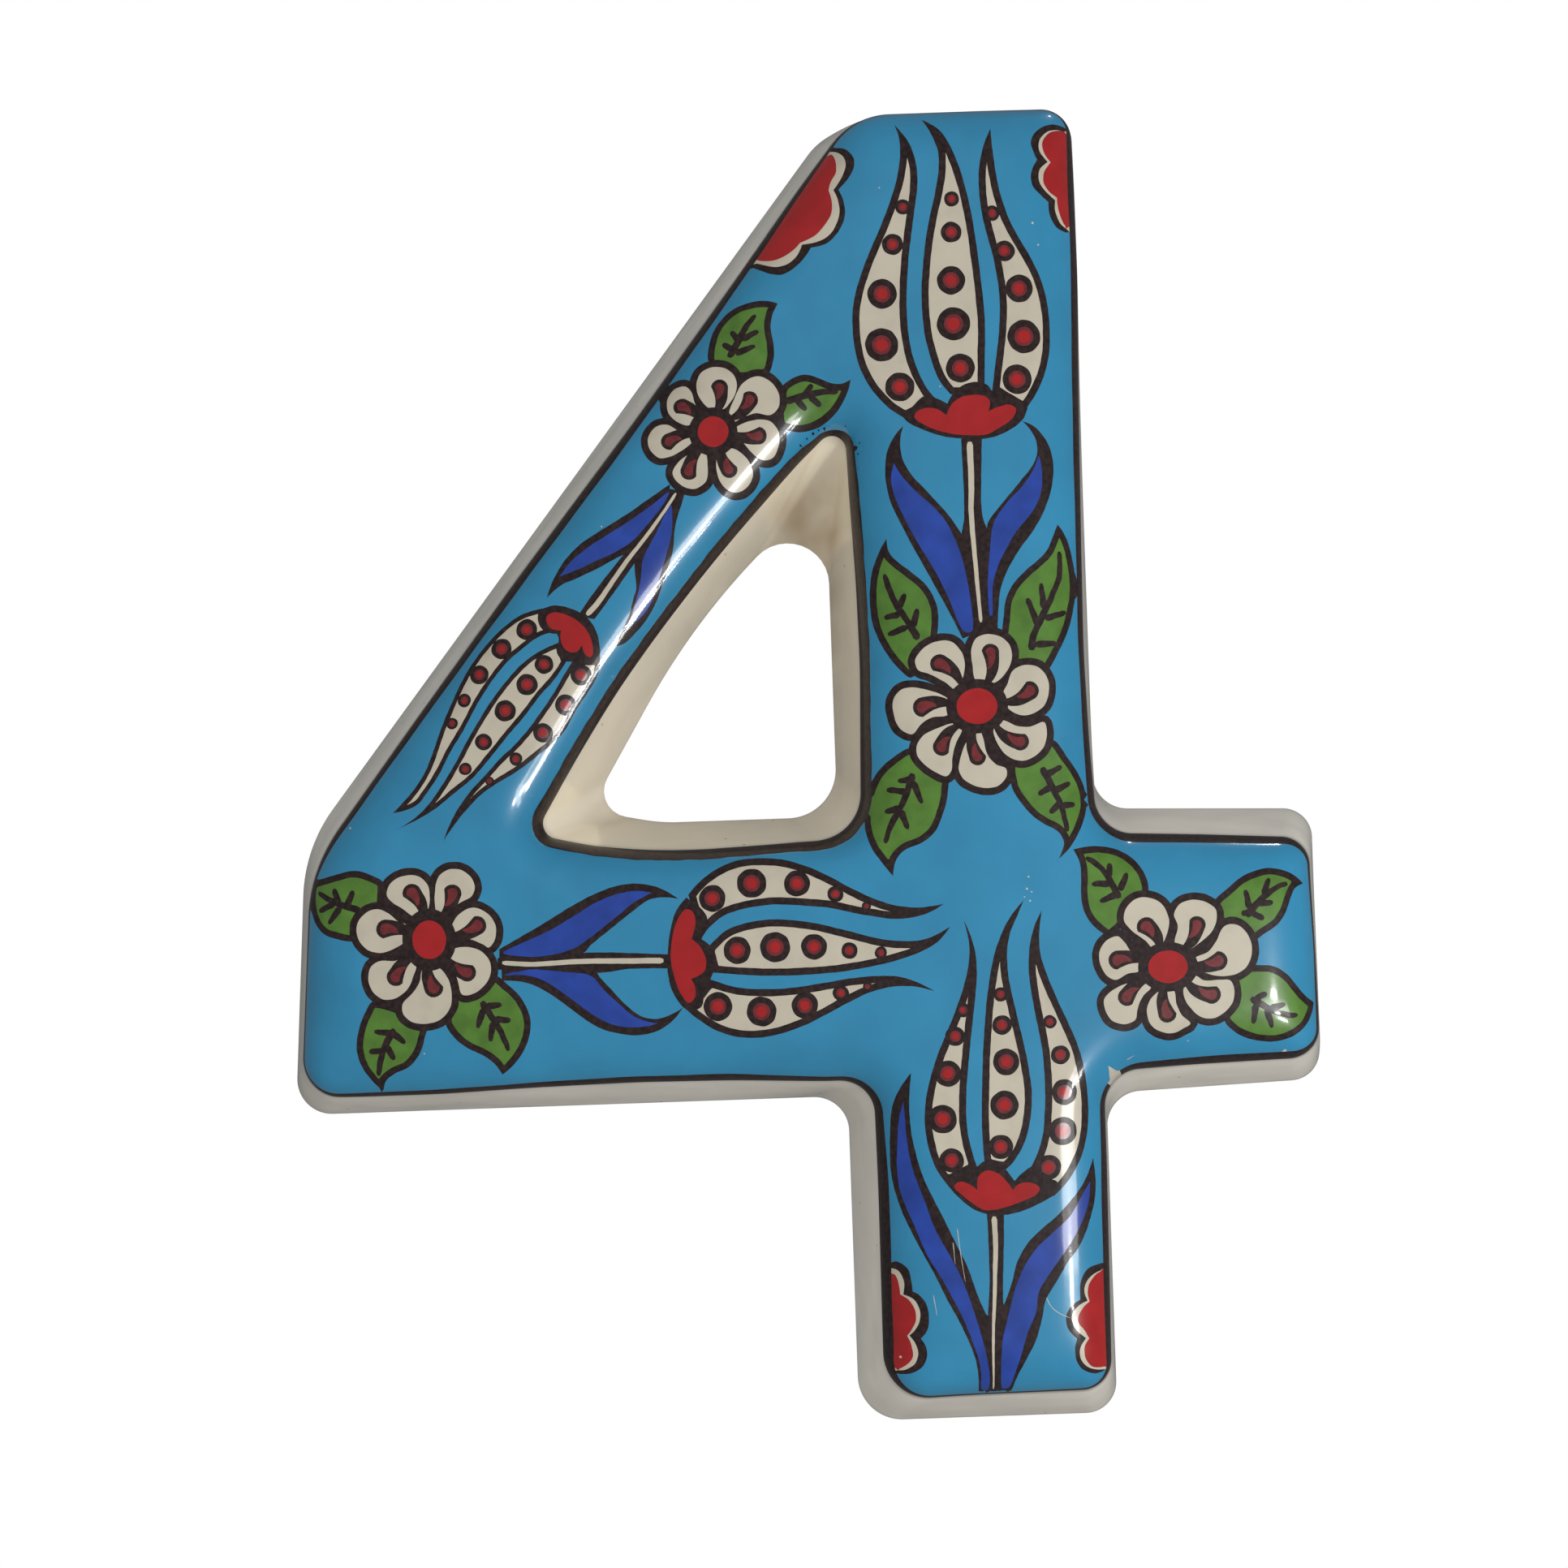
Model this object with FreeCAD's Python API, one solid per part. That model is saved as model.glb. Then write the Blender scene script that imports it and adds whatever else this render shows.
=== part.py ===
import FreeCAD, Part
import math
import os

# A glazed earthenware house number in the form of a figure four, cast in one piece.
# X runs to the right, Z runs up and the face looks along -Y.
# The flat back lies in the plane y = 0, and the origin is on it,
# behind the crossing of the stem's and the crossbar's centre lines. All sizes are in millimetres.

# Sizes of the front edge, where the side walls meet the domed face.
STEM_WIDTH = 25.2
STEM_TOP = 92.9
TOP_WIDTH = 23.8
FOOT_LENGTH = 48.1
BAR_WIDTH = 25.2
LEFT_REACH = 75.6
LEFT_END_LEAN = 1.7
ARM_REACH = 36.3
ARM_ROOT_WIDTH = 26.0
ARM_TIP_WIDTH = 24.4

# The triangular hole: what it leaves of the stem, the crossbar and the slanting limb,
# how far the limb thins towards its middle, and how the hole's floor climbs to its toe.
HOLE_STEM_WIDTH = 25.4
HOLE_BAR_WIDTH = 25.45
LIMB_WIDTH = 18.25
LIMB_WAIST = 3.6
HOLE_TOE_LIFT = 2.55
HOLE_TOE_RAMP = 12.6

# Depths, measured from the back, and the quarter ellipse of the dome's shoulder.
WALL_HEIGHT = 14.0
CROWN_RISE = 4.5
CROWN_RUN = 7.0
CROWN_LEVELS = 8

# How far each side wall spreads from the front edge to the back.
TOP_SPREAD = 3.2
STEM_RIGHT_SPREAD = 1.8
ARM_TOP_SPREAD = 3.7
ARM_END_SPREAD = 3.2
ARM_BOTTOM_SPREAD = 3.6
FOOT_RIGHT_SPREAD = 2.1
FOOT_END_SPREAD = 5.3
FOOT_LEFT_SPREAD = 2.7
LEFT_BOTTOM_SPREAD = 3.2
LEFT_END_SPREAD = 3.2
LIMB_SPREAD = 4.0
HOLE_STEM_SPREAD = 2.6
HOLE_BAR_SPREAD = 3.9
HOLE_LIMB_SPREAD = 2.7

# Corner radii. They run unchanged down the walls, except at the hole's two sharp corners.
TOP_LEFT_ROUND = 8.0
TOP_RIGHT_ROUND = 3.3
ARM_ROUND = 3.4
FOOT_RIGHT_ROUND = 3.6
FOOT_LEFT_ROUND = 5.1
LEFT_BOTTOM_ROUND = 4.0
LEFT_TOP_ROUND = 18.0
INNER_ROUND = 4.0
HOLE_APEX_ROUND = 2.2
HOLE_APEX_BACK_ROUND = 5.3
HOLE_STEM_ROUND = 5.6
HOLE_TOE_ROUND = 1.4
HOLE_TOE_BACK_ROUND = 3.0
HOLE_WAIST_ROUND = 200.0
HOLE_WAIST_BACK_ROUND = 90.0
HOLE_KEEL_ROUND = 80.0
HOLE_KEEL_BACK_ROUND = 20.0

# The softened edge round the back.
BACK_EDGE_ROUND = 0.6

# How far the cutting body for the hole stands out of the face.
HOLE_OVERRUN = 2.0

# The most of a side's length that the arcs at its two ends may take up.
SIDE_IN_ARCS = 0.95


def side_directions(corners):
    """Unit direction of each side, from its corner to the next one."""
    directions = []
    for start, end in zip(corners, corners[1:] + corners[:1]):
        length = math.dist(start, end)
        directions.append(((end[0] - start[0]) / length, (end[1] - start[1]) / length))
    return directions


def moved_corners(corners, offsets):
    """Corners of the outline whose sides have moved to their left by the given offsets."""
    directions = side_directions(corners)
    moved = []
    for index, corner in enumerate(corners):
        ahead = directions[index]
        behind = directions[index - 1]
        cross = behind[0] * ahead[1] - behind[1] * ahead[0]
        along_x = (offsets[index - 1] * ahead[0] - offsets[index] * behind[0]) / cross
        along_z = (offsets[index - 1] * ahead[1] - offsets[index] * behind[1]) / cross
        moved.append((corner[0] + along_x, corner[1] + along_z))
    return moved


def grown_radii(corners, radii, inset):
    """Radii after an inset: the material's hollow corners grow, and its outer ones stay."""
    directions = side_directions(corners)
    grown = []
    for index, ahead in enumerate(directions):
        behind = directions[index - 1]
        turns_left = behind[0] * ahead[1] > behind[1] * ahead[0]
        grown.append(radii[index] + (inset if turns_left else max(-inset, 0.0)))
    return grown


def corner_reaches(corners, radii):
    """Tangent length and half the turn of each corner's arc, limited by the sides it meets."""
    directions = side_directions(corners)
    half_turns = []
    wanted = []
    for index, radius in enumerate(radii):
        behind = directions[index - 1]
        ahead = directions[index]
        half_turn = math.acos(behind[0] * ahead[0] + behind[1] * ahead[1]) / 2
        half_turns.append(half_turn)
        wanted.append(radius * math.tan(half_turn))
    shares = []
    for index, reach in enumerate(wanted):
        following = (index + 1) % len(corners)
        room = SIDE_IN_ARCS * math.dist(corners[index], corners[following])
        shares.append(min(1.0, room / (reach + wanted[following])))
    reaches = [reach * min(shares[index - 1], shares[index]) for index, reach in enumerate(wanted)]
    return reaches, half_turns


def rounded_wire(corners, radii, y):
    """Closed wire at depth y with an arc of the given radius at each corner."""
    directions = side_directions(corners)
    reaches, half_turns = corner_reaches(corners, radii)
    starts, middles, ends = [], [], []
    for index, (x, z) in enumerate(corners):
        behind = directions[index - 1]
        ahead = directions[index]
        reach = reaches[index]
        sink = reach * math.tan(half_turns[index] / 2)
        bisector = (ahead[0] - behind[0], ahead[1] - behind[1])
        scale = sink / math.hypot(*bisector)
        starts.append(FreeCAD.Vector(x - reach * behind[0], y, z - reach * behind[1]))
        middles.append(FreeCAD.Vector(x + scale * bisector[0], y, z + scale * bisector[1]))
        ends.append(FreeCAD.Vector(x + reach * ahead[0], y, z + reach * ahead[1]))
    edges = []
    for index, start in enumerate(starts):
        edges.append(Part.Arc(start, middles[index], ends[index]).toShape())
        edges.append(Part.LineSegment(ends[index], starts[(index + 1) % len(starts)]).toShape())
    return Part.Wire(edges)


def wall_wires(corners, front_radii, back_radii, spreads, inward):
    """The drafted walls: the drawn-in back, the top of its softened edge, and the front edge."""
    soft_share = 1.0 - BACK_EDGE_ROUND / WALL_HEIGHT
    back = [spread - inward * BACK_EDGE_ROUND for spread in spreads]
    soft = [soft_share * spread for spread in spreads]
    return [
        rounded_wire(moved_corners(corners, back), back_radii, 0.0),
        rounded_wire(moved_corners(corners, soft), back_radii, -BACK_EDGE_ROUND),
        rounded_wire(corners, front_radii, -WALL_HEIGHT),
    ]


def crown_wire(corners, radii, inset, height):
    """The outline on the domed face, an inset in from the front edge and a height above it."""
    offsets = [-inset] * len(corners)
    rounds = grown_radii(corners, radii, inset)
    return rounded_wire(moved_corners(corners, offsets), rounds, -WALL_HEIGHT - height)


def crown_wires(corners, radii, inward):
    """Steps up the quarter ellipse from the front edge to the top of the dome."""
    wires = []
    for step in range(1, CROWN_LEVELS + 1):
        angle = math.pi / 2 * step / CROWN_LEVELS
        inset = inward * CROWN_RUN * (1.0 - math.cos(angle))
        wires.append(crown_wire(corners, radii, inset, CROWN_RISE * math.sin(angle)))
    return wires


# The outer outline, clockwise from its top left corner as seen from the front.
stem_half = STEM_WIDTH / 2
bar_half = BAR_WIDTH / 2
arm_root_half = ARM_ROOT_WIDTH / 2
arm_tip_half = ARM_TIP_WIDTH / 2
top_left = (stem_half - TOP_WIDTH, STEM_TOP)
left_top = (LEFT_END_LEAN - LEFT_REACH, bar_half)
outer_corners = [
    top_left,
    (stem_half, STEM_TOP),
    (stem_half, arm_root_half),
    (ARM_REACH, arm_tip_half),
    (ARM_REACH, -arm_tip_half),
    (stem_half, -arm_root_half),
    (stem_half, -FOOT_LENGTH),
    (-stem_half, -FOOT_LENGTH),
    (-stem_half, -bar_half),
    (-LEFT_REACH, -bar_half),
    left_top,
]
outer_radii = [
    TOP_LEFT_ROUND,
    TOP_RIGHT_ROUND,
    INNER_ROUND,
    ARM_ROUND,
    ARM_ROUND,
    INNER_ROUND,
    FOOT_RIGHT_ROUND,
    FOOT_LEFT_ROUND,
    INNER_ROUND,
    LEFT_BOTTOM_ROUND,
    LEFT_TOP_ROUND,
]
outer_spreads = [
    TOP_SPREAD,
    STEM_RIGHT_SPREAD,
    ARM_TOP_SPREAD,
    ARM_END_SPREAD,
    ARM_BOTTOM_SPREAD,
    FOOT_RIGHT_SPREAD,
    FOOT_END_SPREAD,
    FOOT_LEFT_SPREAD,
    LEFT_BOTTOM_SPREAD,
    LEFT_END_SPREAD,
    LIMB_SPREAD,
]

# The hole's slanting side runs beside the limb's outer side and bows out to a waist.
# Its floor runs level from the stem and climbs to the toe.
hole_right = stem_half - HOLE_STEM_WIDTH
hole_floor = HOLE_BAR_WIDTH - bar_half
limb_length = math.dist(left_top, top_left)
limb_x = (top_left[0] - left_top[0]) / limb_length
limb_z = (top_left[1] - left_top[1]) / limb_length
limb_start = (left_top[0] + LIMB_WIDTH * limb_z, left_top[1] - LIMB_WIDTH * limb_x)
toe_run = (hole_floor + HOLE_TOE_LIFT - limb_start[1]) / limb_z
apex_run = (hole_right - limb_start[0]) / limb_x
hole_toe = (limb_start[0] + toe_run * limb_x, limb_start[1] + toe_run * limb_z)
hole_apex = (limb_start[0] + apex_run * limb_x, limb_start[1] + apex_run * limb_z)
hole_waist = (
    (hole_toe[0] + hole_apex[0]) / 2 - LIMB_WAIST * limb_z,
    (hole_toe[1] + hole_apex[1]) / 2 + LIMB_WAIST * limb_x,
)
hole_corners = [
    hole_toe,
    hole_waist,
    hole_apex,
    (hole_right, hole_floor),
    (hole_toe[0] + HOLE_TOE_RAMP, hole_floor),
]
hole_radii = [
    HOLE_TOE_ROUND,
    HOLE_WAIST_ROUND,
    HOLE_APEX_ROUND,
    HOLE_STEM_ROUND,
    HOLE_KEEL_ROUND,
]
hole_back_radii = [
    HOLE_TOE_BACK_ROUND,
    HOLE_WAIST_BACK_ROUND,
    HOLE_APEX_BACK_ROUND,
    HOLE_STEM_ROUND,
    HOLE_KEEL_BACK_ROUND,
]
hole_spreads = [
    -HOLE_LIMB_SPREAD,
    -HOLE_LIMB_SPREAD,
    -HOLE_STEM_SPREAD,
    -HOLE_BAR_SPREAD,
    -HOLE_BAR_SPREAD,
]

# The body is lofted from its levels, and the hole's own loft is cut through it.
body_wires = wall_wires(outer_corners, outer_radii, outer_radii, outer_spreads, 1.0)
body_wires += crown_wires(outer_corners, outer_radii, 1.0)
hole_wires = wall_wires(hole_corners, hole_radii, hole_back_radii, hole_spreads, -1.0)
hole_wires += crown_wires(hole_corners, hole_radii, -1.0)
hole_wires.append(crown_wire(hole_corners, hole_radii, -CROWN_RUN, CROWN_RISE + HOLE_OVERRUN))
body = Part.makeLoft(body_wires, True, True)
hole = Part.makeLoft(hole_wires, True, True)
plaque = body.cut(hole).removeSplitter()

os.makedirs("parts", exist_ok=True)
plaque.exportStep("parts/number_plaque.step")
print("valid", plaque.isValid(), "solids", len(plaque.Solids), "faces", len(plaque.Faces))
print("volume", round(plaque.Volume), "cubic millimetres, box", plaque.BoundBox)
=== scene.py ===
"""House number plaque: a glazed earthenware figure with painted flowers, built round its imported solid."""

import math

import bpy
import numpy as np
from bpy.props import FloatProperty, FloatVectorProperty, PointerProperty
from mathutils import Matrix
from mathutils.geometry import delaunay_2d_cdt


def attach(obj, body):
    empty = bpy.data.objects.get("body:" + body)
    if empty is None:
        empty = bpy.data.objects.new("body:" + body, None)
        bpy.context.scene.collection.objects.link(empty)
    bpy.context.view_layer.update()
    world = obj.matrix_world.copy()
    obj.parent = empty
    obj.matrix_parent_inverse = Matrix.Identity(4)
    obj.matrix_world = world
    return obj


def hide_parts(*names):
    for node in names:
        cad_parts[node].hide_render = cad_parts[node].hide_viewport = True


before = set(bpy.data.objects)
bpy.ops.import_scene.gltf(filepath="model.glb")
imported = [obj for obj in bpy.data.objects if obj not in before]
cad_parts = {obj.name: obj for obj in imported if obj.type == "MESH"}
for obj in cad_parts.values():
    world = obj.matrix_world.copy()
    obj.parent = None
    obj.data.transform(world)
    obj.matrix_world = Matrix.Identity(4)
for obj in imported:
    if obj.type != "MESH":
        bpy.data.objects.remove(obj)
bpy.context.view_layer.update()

bl_info = {
    "name": "House number plaque",
    "version": (1, 0, 0),
    "blender": (4, 5, 0),
    "location": "3D View > Sidebar > Plaque",
    "description": "Builds a glazed earthenware house number with painted flowers",
    "category": "Object",
}

MM = 0.001
NODE = "number_plaque"
BODY = "root"


def linear(hex_colour):
    """Linear RGBA of an sRGB hex colour such as 3A8DBB."""
    values = [int(hex_colour[i : i + 2], 16) / 255 for i in (0, 2, 4)]
    return tuple(v / 12.92 if v <= 0.04045 else ((v + 0.055) / 1.055) ** 2.4 for v in values) + (1.0,)


def length(name, description, millimetres):
    """A length property whose default is given in millimetres."""
    return FloatProperty(
        name=name,
        description=description,
        default=millimetres * MM,
        min=0.0,
        unit="LENGTH",
        subtype="DISTANCE",
    )


def colour(name, description, hex_colour):
    """A colour property whose default is given as an sRGB hex value."""
    return FloatVectorProperty(
        name=name,
        description=description,
        default=linear(hex_colour),
        size=4,
        min=0.0,
        max=1.0,
        subtype="COLOR",
    )


class PlaqueSizes(bpy.types.PropertyGroup):
    """Sizes of the figure's outline, as in the solid that the piece stands for."""

    stem_width: length("Stem width", "Width of the upright stroke at its front edge", 25.2)
    stem_top: length("Stem top", "Height of the top edge above the middle of the crossbar", 92.9)
    top_width: length("Top width", "Width of the flat top", 23.8)
    foot_length: length("Foot length", "Depth of the foot's end below the middle of the crossbar", 48.1)
    bar_width: length("Bar width", "Height of the crossbar at its front edge", 25.2)
    left_reach: length("Left reach", "Distance from the stem's middle to the left end", 75.6)
    left_end_lean: length("Left end lean", "How far the left end leans in at its top", 1.7)
    arm_reach: length("Arm reach", "Distance from the stem's middle to the arm's end", 36.3)
    arm_root_width: length("Arm root width", "Height of the arm where it leaves the stem", 26.0)
    arm_tip_width: length("Arm tip width", "Height of the arm at its end", 24.4)
    hole_stem_width: length("Stem width at hole", "Width of the stem beside the hole", 25.4)
    hole_bar_width: length("Bar width at hole", "Height of the crossbar under the hole", 25.45)
    limb_width: length("Limb width", "Width of the slanting limb", 18.25)
    limb_waist: length("Limb waist", "How far the hole's slanting side bows into the limb", 3.6)
    toe_lift: length("Toe lift", "How far the hole's floor climbs to its toe", 2.55)
    toe_ramp: length("Toe ramp", "Length of that climb", 12.6)
    wall_height: length("Wall height", "Height of the drafted walls from the back to the front edge", 14.0)
    shoulder_rise: length("Shoulder rise", "Rise of the rounded shoulder above the front edge", 4.2)
    shoulder_run: length("Shoulder run", "Width of the rounded shoulder", 6.0)
    dome_rise: length("Dome rise", "Further rise to the middle of each stroke", 0.8)


class PlaqueGlazes(bpy.types.PropertyGroup):
    """Colours of the painted glazes."""

    turquoise: colour("Turquoise ground", "Colour of the glaze that fills the face", "2A80A8")
    line: colour("Line", "Colour of the manganese outlines", "2A1F1F")
    ivory: colour("Ivory", "Colour of the petals", "BAB2A1")
    red: colour("Red", "Colour of the caps, centres and edge flowers", "9A1C1F")
    maroon: colour("Maroon", "Colour of the drops in the petals", "6A2226")
    green: colour("Green", "Colour of the leaves", "4E772B")
    cobalt: colour("Cobalt", "Colour of the blades", "1C3D94")
    cream: colour("Cream wall", "Colour of the glaze down the outer walls", "F3EEE3")
    cream_inside: colour("Cream in the hole", "Colour of the glaze on the opening's walls", "EFE5D0")
    # Tan also gives the painted shade deep in the opening, as well as the browned glaze there and the pinholes.
    tan: colour("Tan in the hole", "Colour of that glaze where it has pooled and browned", "A88258")
    clay: colour("Bare clay", "Colour of the unglazed back", "B9A58A")


# Outline

# Radius of each corner, and how far each side spreads from the front edge to the back, in mm.
OUTER_ROUNDS = np.array([8.0, 3.3, 4.0, 3.4, 3.4, 4.0, 3.6, 5.1, 4.0, 4.0, 18.0])
OUTER_SPREADS = np.array([3.2, 1.8, 3.7, 3.2, 3.6, 2.1, 5.3, 2.7, 3.2, 3.2, 4.0])
HOLE_ROUNDS = np.array([1.4, 200.0, 2.2, 5.6, 80.0])
HOLE_BACK_ROUNDS = np.array([3.0, 90.0, 5.3, 5.6, 20.0])
HOLE_SPREADS = np.array([-2.7, -2.7, -2.6, -3.9, -3.9])

# The cast edge was rubbed down by hand before glazing, so it wanders a little, and so does the line along it.
# Stations round each outline: x and z in mm, how far the edge lies inside the plain outline, and the width
# of its line.
OUTER_EDGE = [
    (-9, 92.9, 0.0, 0.32), (3, 92.9, 0.0, 0.36), (11.5, 92, 0.1, 0.5), (12.6, 85, -0.1, 0.95),
    (12.6, 74, -0.15, 0.95), (12.6, 60, 0.2, 0.95), (12.6, 45, 0.45, 0.85), (12.6, 33, 0.6, 0.78),
    (12.6, 22, 0.3, 0.88), (14, 14.5, -0.3, 1.1), (24, 12.6, -0.1, 1.0), (34, 12.2, 0.2, 0.85),
    (36, 9, 0.35, 0.5), (36.3, 0, 0.05, 0.42), (36, -9.5, -0.1, 0.6), (34, -12, 0.05, 0.9),
    (22, -12.7, 0.15, 0.95), (14, -14, 0.0, 0.7), (12.6, -22, 0.0, 0.9), (12.6, -40, 0.2, 0.9),
    (12, -46, 0.3, 0.65), (8, -48.1, 0.25, 0.4), (-3, -48.1, 0.15, 0.34), (-10, -47.5, -0.1, 0.5),
    (-12.4, -43, -0.1, 1.1), (-12.6, -25, 0.0, 1.1), (-13, -16, -0.1, 0.8), (-17, -12.6, -0.4, 0.55),
    (-28, -12.6, 0.1, 0.85), (-39, -12.6, 0.25, 0.75), (-50, -12.6, 0.05, 0.65), (-60, -12.6, -0.3, 0.6),
    (-71, -12.4, -0.3, 0.5), (-75, -10, 0.1, 0.34), (-75.2, 0, 0.15, 0.26), (-73.8, 10, 0.2, 0.4),
    (-71, 16, 0.3, 0.8), (-62, 28, 0.1, 0.95), (-50, 43, 0.0, 1.15), (-36, 60, 0.25, 1.15),
    (-25, 75, 0.1, 1.0), (-17, 85, -0.15, 0.7),
]
HOLE_EDGE = [
    (-47.5, 16, 0.25, 1.05), (-45, 21, 0.25, 0.92), (-39, 31, 0.2, 0.88), (-32, 40, -0.1, 0.82),
    (-23, 51, -0.38, 0.9), (-18.5, 56.5, -0.35, 0.8), (-17, 58.2, -0.5, 0.36), (-15, 58.2, -0.5, 0.34),
    (-13.4, 57, -0.55, 0.8), (-12.8, 51, -0.35, 1.05), (-12.8, 42, 0.05, 1.05), (-12.8, 32, 0.18, 1.05),
    (-12.8, 23, -0.1, 1.1),
    (-14, 15, -0.4, 1.25), (-18, 12.85, -0.65, 1.12), (-25, 12.85, -0.3, 1.1), (-31, 12.9, -0.05, 1.2),
    (-37, 13.2, 0.22, 1.18), (-43, 14.3, 0.42, 1.15),
]
BACK_EDGE_ROUND = 0.6

# The largest share of a side that the arcs at its two ends may take.
SIDE_IN_ARCS = 0.95


def outline_corners(size):
    """Corners of the outer outline and of the hole in mm, both clockwise as seen from the front."""
    s = {key: getattr(size, key) / MM for key in size.__annotations__}
    stem, bar = s["stem_width"] / 2, s["bar_width"] / 2
    root, tip = s["arm_root_width"] / 2, s["arm_tip_width"] / 2
    top_left = np.array([stem - s["top_width"], s["stem_top"]])
    left_top = np.array([s["left_end_lean"] - s["left_reach"], bar])
    outer = [top_left, (stem, s["stem_top"]), (stem, root), (s["arm_reach"], tip), (s["arm_reach"], -tip)]
    outer += [(stem, -root), (stem, -s["foot_length"]), (-stem, -s["foot_length"]), (-stem, -bar)]
    outer += [(-s["left_reach"], -bar), left_top]
    limb = (top_left - left_top) / np.linalg.norm(top_left - left_top)
    start = left_top + s["limb_width"] * np.array([limb[1], -limb[0]])
    right, floor = stem - s["hole_stem_width"], s["hole_bar_width"] - bar
    toe = start + limb * (floor + s["toe_lift"] - start[1]) / limb[1]
    apex = start + limb * (right - start[0]) / limb[0]
    waist = (toe + apex) / 2 + s["limb_waist"] * np.array([-limb[1], limb[0]])
    hole = [toe, waist, apex, (right, floor), (toe[0] + s["toe_ramp"], floor)]
    return np.array(outer), np.array(hole)


def side_directions(corners):
    """Unit direction of each side, from its corner to the next one."""
    sides = np.roll(corners, -1, 0) - corners
    return sides / np.linalg.norm(sides, axis=1)[:, None]


def moved_corners(corners, offsets):
    """Corners of the outline whose sides have moved to their left by the given offsets."""
    ahead = side_directions(corners)
    behind = np.roll(ahead, 1, 0)
    cross = behind[:, 0] * ahead[:, 1] - behind[:, 1] * ahead[:, 0]
    return corners + (np.roll(offsets, 1)[:, None] * ahead - offsets[:, None] * behind) / cross[:, None]


def corner_arcs(corners, radii):
    """Tangent length, half turn and radius of each corner's arc, limited by the sides it meets."""
    ahead = side_directions(corners)
    half = np.arccos(np.clip((ahead * np.roll(ahead, 1, 0)).sum(1), -1, 1)) / 2
    wanted = radii * np.tan(half)
    side = np.linalg.norm(np.roll(corners, -1, 0) - corners, axis=1)
    share = np.minimum(1.0, SIDE_IN_ARCS * side / (wanted + np.roll(wanted, -1)))
    reach = wanted * np.minimum(share, np.roll(share, 1))
    return reach, half, reach / np.tan(half)


def step_counts(corners, radii, arc_step, side_step):
    """Steps in each corner's arc and in the side after it, for points about that far apart."""
    reach, half, radius = corner_arcs(corners, radii)
    side = np.linalg.norm(np.roll(corners, -1, 0) - corners, axis=1) - reach - np.roll(reach, -1)
    arcs = np.maximum(6, np.round(2 * half * radius / arc_step)).astype(int)
    return arcs, np.maximum(2, np.round(side / side_step)).astype(int)


def rounded_loop(corners, radii, counts):
    """Points and left-hand normals of the outline: an arc at each corner, then the straight side after it."""
    reach, half, radius = corner_arcs(corners, radii)
    ahead = side_directions(corners)
    behind = np.roll(ahead, 1, 0)
    turn = np.sign(behind[:, 0] * ahead[:, 1] - behind[:, 1] * ahead[:, 0])
    start = corners - reach[:, None] * behind
    end = corners + reach[:, None] * ahead
    left = np.stack([-behind[:, 1], behind[:, 0]], 1)
    centre = start + (turn * radius)[:, None] * left
    points, normals = [], []
    for i, (arc_steps, side_steps) in enumerate(zip(*counts)):
        angle = np.arange(arc_steps) / arc_steps * 2 * half[i] * turn[i]
        cos, sin = np.cos(angle), np.sin(angle)
        normal = np.stack([left[i, 0] * cos - left[i, 1] * sin, left[i, 0] * sin + left[i, 1] * cos], 1)
        points.append(centre[i] - turn[i] * radius[i] * normal)
        normals.append(normal)
        share = (np.arange(side_steps) / side_steps)[:, None]
        following = (i + 1) % len(corners)
        points.append(end[i] * (1 - share) + start[following] * share)
        normals.append(np.repeat([[-ahead[i, 1], ahead[i, 0]]], side_steps, 0))
    return np.concatenate(points), np.concatenate(normals)


# Domed face

# How far in on the ellipse of the shoulder the face starts, and how far in from the edge its bow runs, in mm.
ELLIPSE_LEAD = 0.05
BOW_RUN = 11.0

# A point this near the line of a rim segment, in mm, counts as this far from it.
NEAREST = 0.03


def smooth_distance(points, rims):
    """Smooth distance in from the rims, and its gradient.

    The inverse cube of the distance is integrated along every rim segment in closed form. Beside one long
    straight rim the result is the plain distance, and elsewhere it blends the nearby rims without a crease.
    """
    total = np.zeros(len(points))
    slope = np.zeros((len(points), 2))
    starts = np.concatenate(rims)
    ends = np.concatenate([np.roll(rim, -1, 0) for rim in rims])
    lengths = np.linalg.norm(ends - starts, axis=1)
    along = (ends - starts) / lengths[:, None]
    across = np.stack([-along[:, 1], along[:, 0]], 1)
    for first in range(0, len(points), 3000):
        part = slice(first, first + 3000)
        gap = starts[None] - points[part, None]
        near = np.einsum("ijk,jk->ij", gap, along)
        far = near + lengths
        d = np.einsum("ijk,jk->ij", gap, across)
        d = np.where(np.abs(d) < NEAREST, NEAREST, d)
        r_near, r_far = np.hypot(near, d), np.hypot(far, d)
        total[part] = ((far / r_far - near / r_near) / d**2).sum(1)
        by_along = r_near**-3 - r_far**-3
        by_d = near / (d * r_near) * (2 / d**2 + r_near**-2) - far / (d * r_far) * (2 / d**2 + r_far**-2)
        slope[part] = np.einsum("ij,jk->ik", by_along, along) - np.einsum("ij,jk->ik", by_d, across)
    u = np.sqrt(2 / total)
    return u, -(u / (2 * total))[:, None] * slope


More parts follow.
